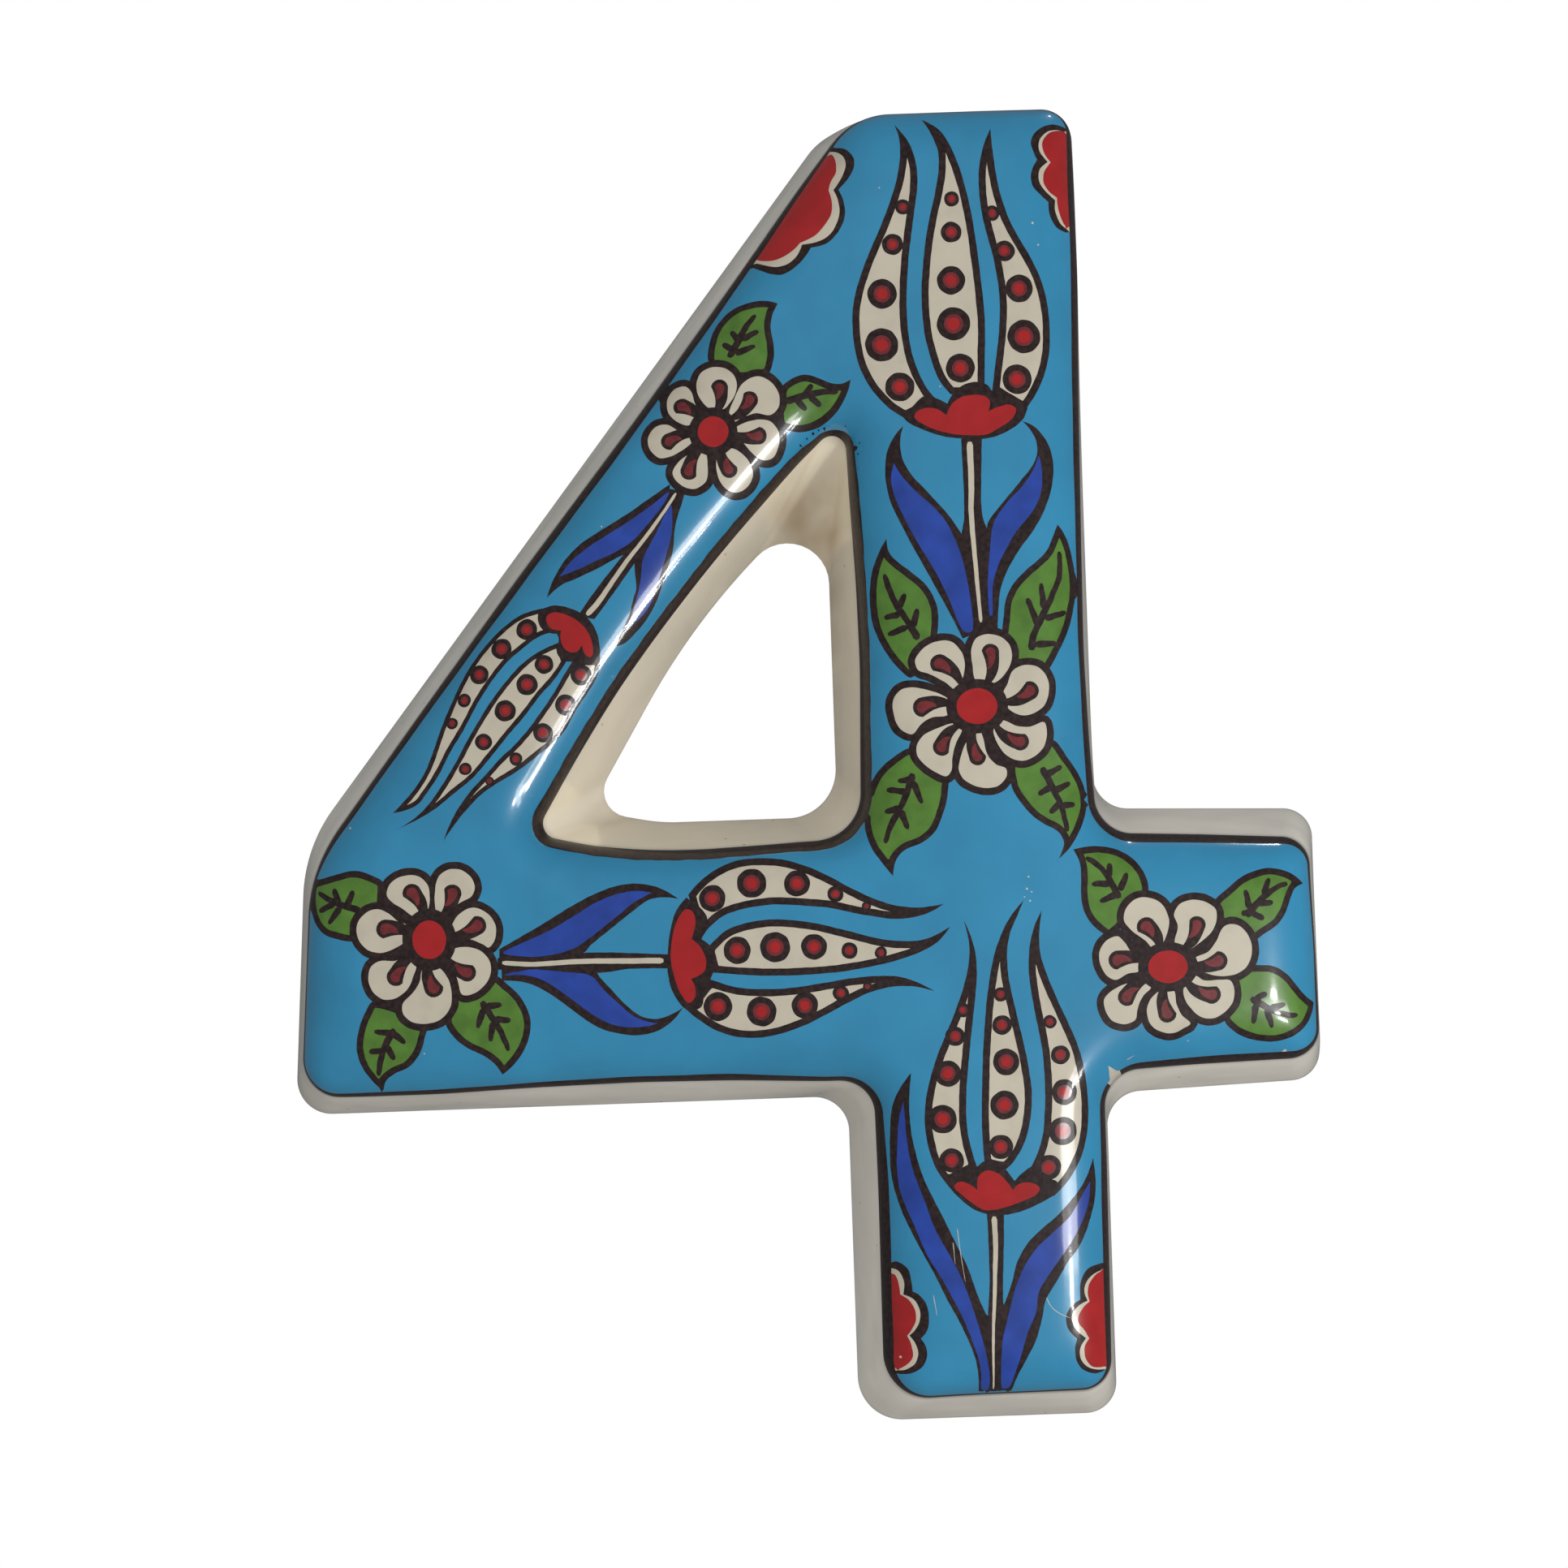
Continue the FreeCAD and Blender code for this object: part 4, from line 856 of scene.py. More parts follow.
# Long blades: the dark outline, then the blue inside it.
BLADES = [
    (
        [(-7.2, 57.8, 1), (-8.3, 56.6), (-9.05, 55.0), (-9.3, 53.2), (-9.2, 51.4), (-8.7, 49.3), (-7.6, 46.8),
         (-6.4, 44.3), (-4.9, 41.4), (-3.5, 38.6), (-2.4, 36.4), (-1.6, 34.6, 1), (-0.4, 35.0, 1),
         (-0.6, 40.0), (-1.1, 45.4), (-1.7, 46.5), (-2.6, 47.9), (-3.9, 49.5), (-5.3, 51.1), (-6.5, 52.5),
         (-7.4, 54.3), (-7.6, 56.1)],
        [(-8.35, 53.9, 1), (-8.7, 52.1), (-8.3, 50.0), (-7.25, 47.5), (-5.8, 44.6), (-4.2, 41.8),
         (-2.8, 38.6), (-1.5, 35.4), (-0.5, 35.4), (-0.5, 37.5), (-0.8, 40.4), (-1.35, 43.2), (-2.05, 45.4),
         (-3.1, 47.5), (-4.6, 49.3), (-6.2, 50.8), (-7.6, 52.5)],
    ),
    (
        [(5.6, 57.9, 1), (6.9, 57.3), (7.9, 56.25), (8.65, 54.8), (8.95, 53.0), (8.65, 50.7), (7.75, 48.2),
         (6.5, 46.1), (5.1, 44.3), (3.65, 42.1), (2.75, 40.0), (2.4, 37.9), (2.2, 35.2, 1), (0.6, 35.4, 1),
         (0.8, 41.0), (1.5, 46.8), (2.2, 47.9), (3.65, 49.6), (5.25, 51.4), (6.5, 52.9), (7.15, 54.3),
         (7.05, 55.9), (6.3, 57.2)],
        [(7.35, 54.1, 1), (6.5, 52.3), (5.1, 50.5), (3.5, 48.9), (2.2, 47.0), (1.8, 45.0), (1.5, 42.5),
         (1.3, 40.0), (1.4, 37.0), (1.7, 37.0), (1.85, 40.0), (2.4, 42.1), (3.5, 44.2), (4.7, 46.1),
         (6.3, 47.9), (7.4, 50.0), (7.65, 52.5)],
    ),
    (
        [(-46.4, 40.6, 1), (-45.5, 42.8), (-44.1, 44.9), (-42.3, 46.5), (-40.1, 47.8), (-37.6, 49.2),
         (-35.1, 50.8), (-32.6, 52.4, 1), (-33.2, 49.6), (-36.9, 45.5), (-38.7, 44.6), (-40.9, 43.5),
         (-43.0, 42.6), (-44.8, 41.9)],
        [(-44.9, 42.9, 1), (-43.7, 44.4), (-41.9, 45.8), (-39.8, 47.05), (-37.3, 48.5), (-34.8, 50.1),
         (-32.7, 51.6), (-33.6, 50.0), (-35.4, 47.9), (-36.9, 46.4), (-38.7, 45.3), (-40.9, 44.4),
         (-43.0, 43.5)],
    ),
    (
        [(-39.1, 35.2, 1), (-38.1, 35.6), (-36.9, 36.7), (-35.6, 38.25), (-34.5, 40.1), (-33.7, 42.1),
         (-33.0, 43.9), (-32.5, 45.6), (-32.3, 47.4), (-31.9, 48.9), (-31.4, 50.3), (-30.9, 51.8, 1),
         (-32.2, 51.0), (-34.4, 47.9), (-36.6, 44.6), (-36.75, 43.1), (-36.65, 41.4), (-37.0, 40.3),
         (-37.5, 38.6), (-38.3, 37.0)],
        [(-38.0, 37.0, 1), (-37.3, 38.4), (-36.7, 40.1), (-36.2, 42.0), (-35.8, 44.4), (-34.4, 47.0),
         (-33.4, 48.9), (-32.6, 50.3), (-32.5, 48.1), (-32.8, 46.4), (-33.5, 44.2), (-34.25, 42.1),
         (-35.0, 40.1), (-36.1, 38.5)],
    ),
    (
        [(-33.3, 7.6, 1), (-34.8, 8.6), (-36.4, 9.2), (-38.4, 9.4), (-40.4, 9.1), (-42.8, 8.2), (-45.2, 7.0),
         (-47.6, 5.6), (-50.0, 4.3), (-52.8, 2.8, 1), (-52.8, 1.2, 1), (-43.9, 2.0), (-42.8, 3.0),
         (-41.2, 4.2), (-39.6, 5.4), (-38.0, 6.6), (-36.4, 7.6), (-34.8, 7.8)],
        [(-36.1, 8.35, 1), (-38.0, 8.6), (-40.0, 8.3), (-42.4, 7.4), (-44.8, 6.0), (-47.2, 4.7),
         (-50.0, 3.5), (-52.4, 2.4), (-49.6, 1.9), (-47.2, 2.0), (-44.8, 2.6), (-42.8, 3.8), (-41.2, 5.0),
         (-39.6, 6.2), (-38.0, 7.4)],
    ),
    (
        [(-33.1, -4.1, 1), (-34.4, -5.6), (-36.0, -6.6), (-38.0, -7.0), (-40.4, -6.7), (-42.4, -6.0),
         (-44.4, -4.6), (-46.4, -3.0), (-48.4, -1.6), (-50.4, -0.8), (-52.6, -0.6, 1), (-52.6, 1.0, 1),
         (-42.7, 0.3), (-42.0, -0.6), (-40.8, -2.0), (-39.2, -3.8), (-37.6, -5.0), (-36.0, -5.3),
         (-34.3, -4.8)],
        [(-36.0, -5.8, 1), (-37.6, -6.1), (-40.0, -6.0), (-42.0, -5.2), (-44.0, -3.8), (-46.0, -2.2),
         (-48.0, -0.8), (-50.0, -0.1), (-52.4, 0.0), (-49.6, 0.5), (-47.2, 0.3), (-44.8, 0.0),
         (-43.0, -0.4), (-41.6, -2.0), (-40.0, -3.6), (-38.4, -5.0)],
    ),
    (
        [(-8.8, -12.1, 1), (-10.0, -13.7), (-10.85, -15.6), (-11.2, -18.5), (-11.3, -21.5), (-11.1, -24.1),
         (-10.3, -27.0), (-9.2, -29.6), (-7.9, -32.2), (-6.8, -34.4), (-5.7, -36.8), (-4.3, -39.6),
         (-3.2, -42.3), (-2.65, -44.6), (-2.5, -47.3, 1), (-1.2, -47.3, 1), (-1.2, -39.0), (-1.65, -38.3),
         (-2.6, -35.9), (-3.4, -33.3), (-4.6, -30.7), (-5.7, -28.2), (-6.8, -25.9), (-7.9, -23.3),
         (-8.6, -20.7), (-9.0, -18.2), (-9.1, -15.6)],
        [(-9.7, -15.2, 1), (-10.2, -17.0), (-10.5, -20.0), (-10.6, -22.8), (-10.3, -25.2), (-9.1, -28.4),
         (-7.75, -31.8), (-5.9, -35.1), (-4.3, -38.4), (-3.2, -41.2), (-2.3, -44.6), (-2.2, -47.0),
         (-1.4, -47.0), (-1.5, -44.0), (-2.2, -40.7), (-3.2, -37.1), (-4.3, -34.0), (-5.4, -31.8),
         (-6.8, -29.0), (-7.9, -25.7), (-9.0, -22.4), (-9.5, -19.0), (-9.6, -17.0)],
    ),
    (
        [(10.75, -22.1, 1), (10.95, -24.4), (10.75, -26.7), (9.9, -29.3), (8.8, -31.5), (7.4, -33.2),
         (6.0, -35.4), (4.9, -37.1), (4.45, -39.0), (3.8, -41.2), (2.7, -43.4), (1.7, -45.4),
         (1.1, -47.3, 1), (-0.3, -47.3, 1), (-0.2, -38.2), (0.4, -37.3), (1.3, -35.1), (1.9, -33.0),
         (3.0, -31.1), (4.5, -29.6), (6.4, -28.1), (8.2, -26.3), (9.7, -24.4)],
        [(10.3, -24.6, 1), (10.2, -25.7), (9.9, -27.3), (8.8, -29.6), (7.1, -32.1), (5.4, -34.3),
         (4.2, -36.2), (3.8, -38.4), (2.9, -40.4), (2.1, -42.9), (1.3, -45.4), (0.8, -46.9), (0.0, -46.9),
         (0.0, -42.0), (0.7, -39.0), (1.6, -35.9), (2.7, -33.4), (4.1, -31.5), (6.0, -29.8), (7.95, -28.1),
         (9.3, -26.0)],
    ),
]

# Stems: the dark band as a closed shape, then the ivory thread along it with its two widths.
STEMS = [
    (
        [(-1.05, 57.0, 1), (1.3, 57.0, 1), (0.98, 51.1), (0.98, 47.9), (1.6, 45.8), (1.8, 43.0), (1.6, 40.0),
         (1.6, 37.0), (2.2, 34.8, 1), (-0.9, 34.8, 1), (-0.5, 37.5), (-0.8, 40.4), (-1.3, 43.2), (-1.4, 45.5),
         (-1.0, 47.5), (-0.93, 51.1)],
        [(-0.1, 55.8), (-0.08, 51.0), (-0.2, 48.2), (0.0, 43.9), (0.2, 40.3), (0.43, 36.3)], 0.68, 0.36,
    ),
    (
        [(-43.1, 38.5, 1), (-41.3, 38.1, 1), (-39.0, 41.0), (-36.9, 43.8), (-34.8, 46.5), (-33.2, 48.8),
         (-31.2, 51.5, 1), (-32.6, 51.9, 1), (-34.4, 49.3), (-36.2, 46.9), (-38.2, 44.6), (-40.5, 41.9)],
        [(-42.1, 38.6), (-40.9, 39.8), (-39.7, 41.4), (-37.6, 44.2), (-35.5, 46.7), (-33.7, 49.0),
         (-32.0, 51.4)], 0.58, 0.3,
    ),
    (
        [(-53.0, 1.9, 1), (-48.0, 1.7), (-43.8, 2.1), (-40.0, 2.0), (-34.4, 1.6, 1), (-34.4, 0.1, 1),
         (-38.8, 0.2), (-42.0, -0.1), (-48.0, 0.4), (-53.0, 0.6, 1)],
        [(-52.5, 1.35), (-50.0, 1.1), (-48.0, 1.08), (-44.0, 1.2), (-40.0, 1.1), (-35.1, 0.97)], 0.48, 0.62,
    ),
    (
        [(-1.15, -27.2, 1), (0.72, -27.2, 1), (0.5, -32.3), (0.3, -35.7), (0.3, -38.0), (0.05, -42.0),
         (0.0, -47.4, 1), (-1.6, -47.4, 1), (-1.5, -44.0), (-1.4, -38.5), (-1.15, -35.7), (-1.08, -32.3)],
        [(-0.38, -27.9), (-0.33, -31.0), (-0.47, -33.7), (-0.67, -37.3), (-0.9, -40.7), (-0.95, -43.5),
         (-0.9, -47.0)], 0.6, 0.16,
    ),
]

# Flowers cut off by the edge: the dark shape, the ivory rim and the red inside it.
EDGE_FLOWERS = [
    (
        [(13.4, 90.6, 1), (11.7, 90.3), (10.0, 90.3), (8.5, 89.5), (7.7, 88.2), (8.05, 86.7), (8.3, 86.2, 1),
         (7.6, 84.7), (7.7, 83.3), (8.7, 82.2), (9.4, 81.6, 1), (9.5, 80.3), (10.2, 79.0), (11.3, 78.6),
         (13.4, 78.8, 1)],
        [(13.4, 89.7, 1), (11.5, 89.75), (9.8, 89.5), (8.75, 88.5), (8.6, 87.2), (9.5, 86.0, 1), (8.5, 85.0),
         (8.5, 83.7), (9.2, 82.7), (10.2, 81.9, 1), (10.15, 80.8), (10.7, 79.5), (11.6, 79.0),
         (13.4, 79.1, 1)],
        [(13.4, 89.6, 1), (11.1, 89.7), (9.7, 89.2), (8.95, 88.0), (9.2, 86.8), (9.85, 86.0, 1),
         (9.0, 84.8), (8.95, 83.7), (9.5, 82.8), (10.4, 82.2, 1), (10.6, 80.7), (11.35, 79.3),
         (13.4, 79.4, 1)],
    ),
    (
        [(-17.5, 89.5, 1), (-13.5, 88.85), (-12.3, 88.3), (-11.5, 87.0), (-11.65, 85.7), (-12.4, 84.6),
         (-13.3, 83.7, 1), (-12.8, 82.3), (-12.7, 80.7), (-13.5, 79.0), (-14.8, 77.8), (-16.5, 77.4, 1),
         (-17.3, 76.3), (-18.4, 75.3), (-19.8, 74.65), (-21.2, 75.0), (-23.4, 76.4, 1)],
        [(-17.5, 88.9, 1), (-14.0, 88.5), (-12.85, 87.8), (-12.4, 86.7), (-12.75, 85.3), (-13.85, 83.7, 1),
         (-13.35, 82.3), (-13.35, 80.7), (-14.2, 79.0), (-15.5, 78.1), (-17.45, 77.85, 1), (-18.0, 76.7),
         (-19.1, 75.8), (-20.3, 75.6), (-21.6, 76.05), (-23.4, 77.0, 1)],
        [(-17.5, 88.5, 1), (-14.0, 88.2), (-13.5, 87.3), (-13.5, 85.7), (-14.05, 84.7), (-14.35, 83.7, 1),
         (-14.05, 82.3), (-14.2, 81.0), (-15.0, 79.7), (-16.0, 78.75), (-17.65, 78.05, 1), (-18.5, 77.25),
         (-19.8, 76.55), (-21.2, 76.45), (-23.4, 77.2, 1)],
    ),
    (
        [(-13.2, -32.6, 1), (-11.5, -32.6), (-10.8, -32.7), (-9.8, -33.4), (-9.5, -34.8), (-9.4, -35.8, 1),
         (-8.7, -36.2), (-8.0, -37.2), (-7.75, -38.6), (-8.0, -40.0), (-8.7, -40.9, 1), (-8.2, -41.8),
         (-8.1, -42.9), (-8.6, -44.0), (-9.8, -44.8), (-11.2, -45.0), (-13.2, -44.9, 1)],
        [(-13.2, -33.4, 1), (-11.5, -33.4), (-10.8, -33.7), (-10.3, -34.7), (-10.4, -36.2, 1), (-9.4, -36.6),
         (-8.8, -37.6), (-8.7, -38.7), (-9.15, -39.8), (-9.9, -40.6, 1), (-9.3, -41.5), (-9.05, -42.6),
         (-9.4, -43.7), (-10.4, -44.4), (-11.4, -44.6), (-13.2, -44.6, 1)],
        [(-13.2, -33.8, 1), (-11.5, -33.8), (-10.95, -34.6), (-10.75, -36.2, 1), (-9.8, -36.8), (-9.2, -37.9),
         (-9.2, -39.1), (-10.15, -40.65, 1), (-9.7, -41.8), (-9.7, -43.2), (-11.2, -44.4),
         (-13.2, -44.3, 1)],
    ),
    (
        [(13.2, -33.5, 1), (10.9, -33.7), (9.6, -34.1), (8.8, -35.4), (8.7, -37.3, 1), (7.7, -37.9),
         (7.05, -39.0), (7.25, -40.4), (8.2, -41.5, 1), (7.95, -42.6), (8.1, -44.0), (8.8, -45.0),
         (10.2, -45.6), (11.1, -45.5), (13.2, -45.3, 1)],
        [(13.2, -34.3, 1), (10.9, -34.5), (9.75, -35.1), (9.2, -36.2), (9.5, -37.5, 1), (8.4, -38.0),
         (7.65, -39.1), (8.1, -40.4), (9.2, -41.55, 1), (8.55, -42.5), (8.55, -43.7), (9.3, -44.7),
         (10.9, -45.25), (13.2, -45.0, 1)],
        [(13.2, -34.4, 1), (11.0, -34.6), (9.9, -35.5), (9.55, -36.5), (9.75, -37.6, 1), (8.8, -38.4),
         (8.35, -39.55), (9.05, -40.7), (9.55, -41.6, 1), (9.0, -42.6), (9.2, -44.0), (10.2, -44.9),
         (13.2, -44.8, 1)],
    ),
]


# Wear and firing marks on the face. A chip of cream glaze lies over the line in the corner under the arm.
CHIP = [
    (12.7, -12.15, 1), (14.05, -12.95), (15.0, -13.45, 1), (14.8, -14.6, 1), (13.0, -14.9, 1),
    (12.95, -13.6),
]
# Middle and radius of the gap that the chip leaves in the line over the edge.
CHIP_GAP = (14.0, -13.9, 0.9)

# Black grains spattered round the top of the hole: x, z, radius.
GRAINS = [
    (-16.9, 57.75, 0.16), (-16.3, 58.15, 0.1), (-15.6, 58.3, 0.18), (-15.1, 58.55, 0.08), (-14.1, 58.1, 0.2),
    (-13.5, 57.75, 0.16), (-13.1, 57.4, 0.2), (-12.6, 56.7, 0.18), (-12.3, 56.1, 0.22), (-12.15, 55.3, 0.12),
    (-11.95, 56.5, 0.08), (-12.2, 53.8, 0.1), (-17.6, 57.2, 0.1), (-13.4, 58.4, 0.07), (-18.3, 56.5, 0.12),
]

# Pale pinpricks where the glaze has popped: x, z, radius.
PRICKS = [
    (7.56, 79.27, 0.13), (8.1, 76.91, 0.1), (4.62, 8.66, 0.1), (4.4, 7.35, 0.12), (4.9, 7.0, 0.08),
    (4.7, 6.03, 0.1),
    (4.1, 6.5, 0.07), (-10.91, -43.05, 0.14), (12.1, -44.8, 0.12), (32.16, -11.2, 0.13),
    (-68.77, 16.54, 0.12),
    (-3.1, 61.9, 0.08), (-40.2, 48.1, 0.08), (-8.9, 83.6, 0.08), (21.4, -9.7, 0.07), (-61.3, -8.2, 0.08),
]

# Fine pale scratches: their points, thinning to both ends.
SCRATCHES = [
    [(-4.39, -29.11), (-4.13, -31.74), (-3.72, -34.82)], [(-4.9, -30.6), (-4.75, -32.9)],
    [(4.97, -36.88), (5.8, -38.23), (7.55, -39.2)], [(14.83, -11.59), (15.59, -11.16)],
    [(-7.2, -36.2), (-6.9, -38.4)],
]


def painted_shapes():
    """Finish and outline of every painted shape, in the order in which they cover one another."""
    rng = np.random.default_rng(41)
    shapes = []

    def paint(finish, loop, amount=0.02):
        if len(loop) > 5:
            shapes.append((finish, unsteady(loop, rng, amount)))

    for dark, ivory, red in EDGE_FLOWERS:
        paint("line", curve(dark))
        paint("ivory", curve(ivory))
        paint("red", curve(red))
    for dark, *_ in BLADES + STEMS:
        paint("line", curve(dark))
    for _, blue in BLADES:
        paint("cobalt", curve(blue))
    for _, thread, start_width, end_width in STEMS:
        paint("ivory", stroke(thread, start_width, end_width))
    for dark, veins in LEAVES:
        paint("line", curve(dark))
        paint("green", grown(curve(dark, 0.2), -LEAF_LINE))
        for vein in veins:
            paint("line", stroke(vein, *VEIN_WIDTHS), 0.05)
    for centre, radius, squash, ring, petals in ROSETTES:
        centre = np.array(centre)
        shaped = [drawn_in(curve(ivory, 0.2), centre, squash, ring) for ivory, *_ in petals]
        paint("line", disc(*centre, ring + HEART_MARGIN, squash))
        for loop in shaped:
            paint("line", grown(loop, PETAL_LINE))
        for loop in shaped:
            paint("ivory", loop)
        for _, head, tail, size in petals:
            inward = centre - tail
            inward /= np.linalg.norm(inward)
            paint("line", drop(head, tail + 0.9 * inward, size + 0.3, 0.26))
            core_tail = 0.35 * np.array(head) + 0.65 * np.array(tail)
            paint("maroon", drop(head, core_tail, size * 0.84, 0.1), 0.01)
        paint("line", disc(*centre, ring, squash))
        paint("red", disc(*centre, radius, squash))
    for i, petal in enumerate(TULIP_PETALS):
        paint("line", curve(petal))
        paint("ivory", grown(curve(petal, 0.2), -TULIP_LINE_WIDTHS[i // 3]))
    for x, z, radius in TULIP_SPOTS:
        paint("line", disc(x, z, radius), 0.04)
        paint("maroon", disc(x, z, 0.58 * radius))
        if radius > 0.6:
            paint("red", disc(x, z, 0.46 * radius - 0.14))
    for dark, red in TULIP_CAPS:
        paint("line", curve(dark))
        paint("red", curve(red))
    for x, z, radius in GRAINS:
        paint("line", disc(x, z, radius), 0.06)
    for x, z, radius in PRICKS:
        paint("ivory", disc(x, z, radius), 0.03)
    for points in SCRATCHES:
        paint("ivory", stroke(points, *SCRATCH_WIDTHS), 0.01)
    paint("ivory", curve(CHIP))
    return shapes


def inside(points, loop):
    """Which points lie in the closed loop, by counting crossings."""
    low, high = loop.min(0), loop.max(0)
    result = np.zeros(len(points), bool)
    near = np.flatnonzero(((points >= low) & (points <= high)).all(1))
    if not len(near):
        return result
    x, z = points[near, 0][:, None], points[near, 1][:, None]
    ax, az = loop[:, 0][None], loop[:, 1][None]
    bx, bz = np.roll(loop[:, 0], -1)[None], np.roll(loop[:, 1], -1)[None]
    spans = (az > z) != (bz > z)
    with np.errstate(divide="ignore", invalid="ignore"):
        cut = ax + (z - az) / (bz - az) * (bx - ax)
    result[near] = (spans & (x < cut)).sum(1) % 2 == 1
    return result


# Mesh

FINISHES = ["turquoise", "line", "ivory", "red", "maroon", "green", "cobalt", "wall", "hole_wall", "back"]


def grid_faces(first, rows, columns, flipped):
    """Quads between the rows of closed rings, each ring a run of vertices."""
    row = np.arange(rows - 1)[:, None] * columns
    here = np.arange(columns)[None]
    ahead = (here + 1) % columns
    above = row + columns
    quads = np.stack([row + here, row + ahead, above + ahead, above + here], -1).reshape(-1, 4)
    return first + (quads[:, ::-1] if flipped else quads)


def put_mesh(name, verts, quads, tris, quad_finish, tri_finish, normals, materials):
    """Mesh object from arrays in mm: quads, then triangles, each with its finish."""
    mesh = bpy.data.meshes.new(name)
    mesh.vertices.add(len(verts))
    mesh.vertices.foreach_set("co", (verts * MM).astype(np.float32).ravel())
    corners = np.concatenate([quads.ravel(), tris.ravel()])
    mesh.loops.add(len(corners))
    mesh.loops.foreach_set("vertex_index", corners.astype(np.int32))
    sizes = np.concatenate([np.full(len(quads), 4), np.full(len(tris), 3)])
    mesh.polygons.add(len(sizes))
    mesh.polygons.foreach_set("loop_start", np.concatenate([[0], np.cumsum(sizes)[:-1]]).astype(np.int32))
    mesh.polygons.foreach_set("material_index", np.concatenate([quad_finish, tri_finish]).astype(np.int32))
    for material in materials:
        mesh.materials.append(material)
    mesh.update(calc_edges=True)
    mesh.validate()
    mesh.polygons.foreach_set("use_smooth", np.ones(len(mesh.polygons), bool))
    mesh.normals_split_custom_set_from_vertices(normals.tolist())
    obj = bpy.data.objects.new(name, mesh)
    bpy.context.scene.collection.objects.link(obj)
    return obj


def finished_edge(loop, stations, rng):
    """Shift of the edge and width of its line at each column, eased from station to station round the
    outline, with the small swings of a brush in the width."""
    stations = np.array(stations, float)
    nearest = ((loop[None] - stations[:, None, :2]) ** 2).sum(2).argmin(1)
    order = np.argsort(nearest)
    columns = len(loop)
    at = np.concatenate([nearest[order] - columns, nearest[order], nearest[order] + columns])
    values = np.tile(stations[order, 2:], (3, 1))
    run = np.arange(-columns, 2 * columns)
    eased = np.stack([np.interp(run, at, values[:, i]) for i in (0, 1)], 1)
    window = np.hanning(15)
    window /= window.sum()
    eased = np.stack([np.convolve(eased[:, i], window, "same") for i in (0, 1)], 1)[columns : 2 * columns]
    share = np.arange(columns) / columns
    swing = sum(np.sin(2 * math.pi * (turns * share + rng.random())) for turns in (13, 29, 51))
    return eased[:, 0], eased[:, 1] * (1 + 0.018 * swing)


def outward_normals(loop, outward):
    """Normals of the closed loop from its neighbouring points, on the side of the given ones."""
    ahead = np.roll(loop, -1, 0) - np.roll(loop, 1, 0)
    normal = np.stack([-ahead[:, 1], ahead[:, 0]], 1) / np.linalg.norm(ahead, axis=1)[:, None]
    return normal * np.sign((normal * outward).sum(1))[:, None]


# Rows of the line over the front edge, as shares of its width, and of the walls below it: turns of the
# rounded back edge, then even steps. The walls swell by the bow, in mm.
BAND_ROWS = np.array([0.0, 0.02, 0.07, 0.15, 0.27, 0.43, 0.62, 0.81, 1.0])
BACK_EDGE_TURNS = (1.0, 0.75, 0.5, 0.25)
WALL_STEPS = 12
WALL_ROWS = len(BACK_EDGE_TURNS) + WALL_STEPS
WALL_BOW = 0.10

# Spacing of the face's loose points and the cell that each painted point keeps clear of them, and how far
# painted points stay from the face's border, in mm.
FILL_PITCH = 0.72
FILL_CELL = 0.24
BORDER_GAP = 0.3


def at_depth(points, y=0.0):
    """Points of the plane set in space at one depth."""
    return np.column_stack([points[:, 0], np.full(len(points), y), points[:, 1]])


def between(points, rims):
    """Which points lie inside the outer rim and outside the hole's."""
    return inside(points, rims[0]) & ~inside(points, rims[1])


def ring_edges(loops):
    """Edges round each loop, whose points are numbered on from loop to loop."""
    edges, start = [], 0
    for loop in loops:
        index = start + np.arange(len(loop))
        edges.append(np.stack([index, np.roll(index, -1)], 1))
        start += len(loop)
    return edges


def triangulated(points, edges, rims, tolerance, least, facing):
    """Triangles between the rims with the given fixed edges: all their points, the triangles, their middles.
    They turn one way, which facing gives as 1 or -1, and none is smaller than the least double area."""
    result = delaunay_2d_cdt(points.tolist(), np.concatenate(edges).tolist(), [], 0, tolerance, False)
    points = np.array([tuple(p) for p in result[0]])
    tris = np.array([f for f in result[2] if len(f) == 3])
    middle = points[tris].mean(1)
    keep = between(middle, rims)
    tris, middle = tris[keep], middle[keep]
    a, b, c = (points[tris[:, i]] for i in range(3))
    area = (b - a)[:, 0] * (c - a)[:, 1] - (b - a)[:, 1] * (c - a)[:, 0]
    tris = np.where((facing * area < 0)[:, None], tris[:, ::-1], tris)
    keep = np.abs(area) > least
    return points, tris[keep], middle[keep]


def wall_rings(corners, back_rounds, spreads, counts, loop, outward, into, wall_height):
    """Rings of a wall, from the softened back edge up to the front edge."""
    soft_share = 1 - BACK_EDGE_ROUND / wall_height
    rings = []
    for turn in BACK_EDGE_TURNS:
        angle = turn * math.pi / 2
        tuck = ((spreads + into * BACK_EDGE_ROUND) - soft_share * spreads) * (1 - math.cos(angle))
        points, _ = rounded_loop(moved_corners(corners, soft_share * spreads + tuck), back_rounds, counts)
        rings.append(at_depth(points, -BACK_EDGE_ROUND * (1 - math.sin(angle))))
    soft, _ = rounded_loop(moved_corners(corners, soft_share * spreads), back_rounds, counts)
    for share in np.linspace(0, 1, WALL_STEPS + 1)[:-1]:
        points = soft * (1 - share) + loop * share + WALL_BOW * math.sin(math.pi * share) * outward
        rings.append(at_depth(points, -BACK_EDGE_ROUND * (1 - share) - wall_height * share))
    return rings


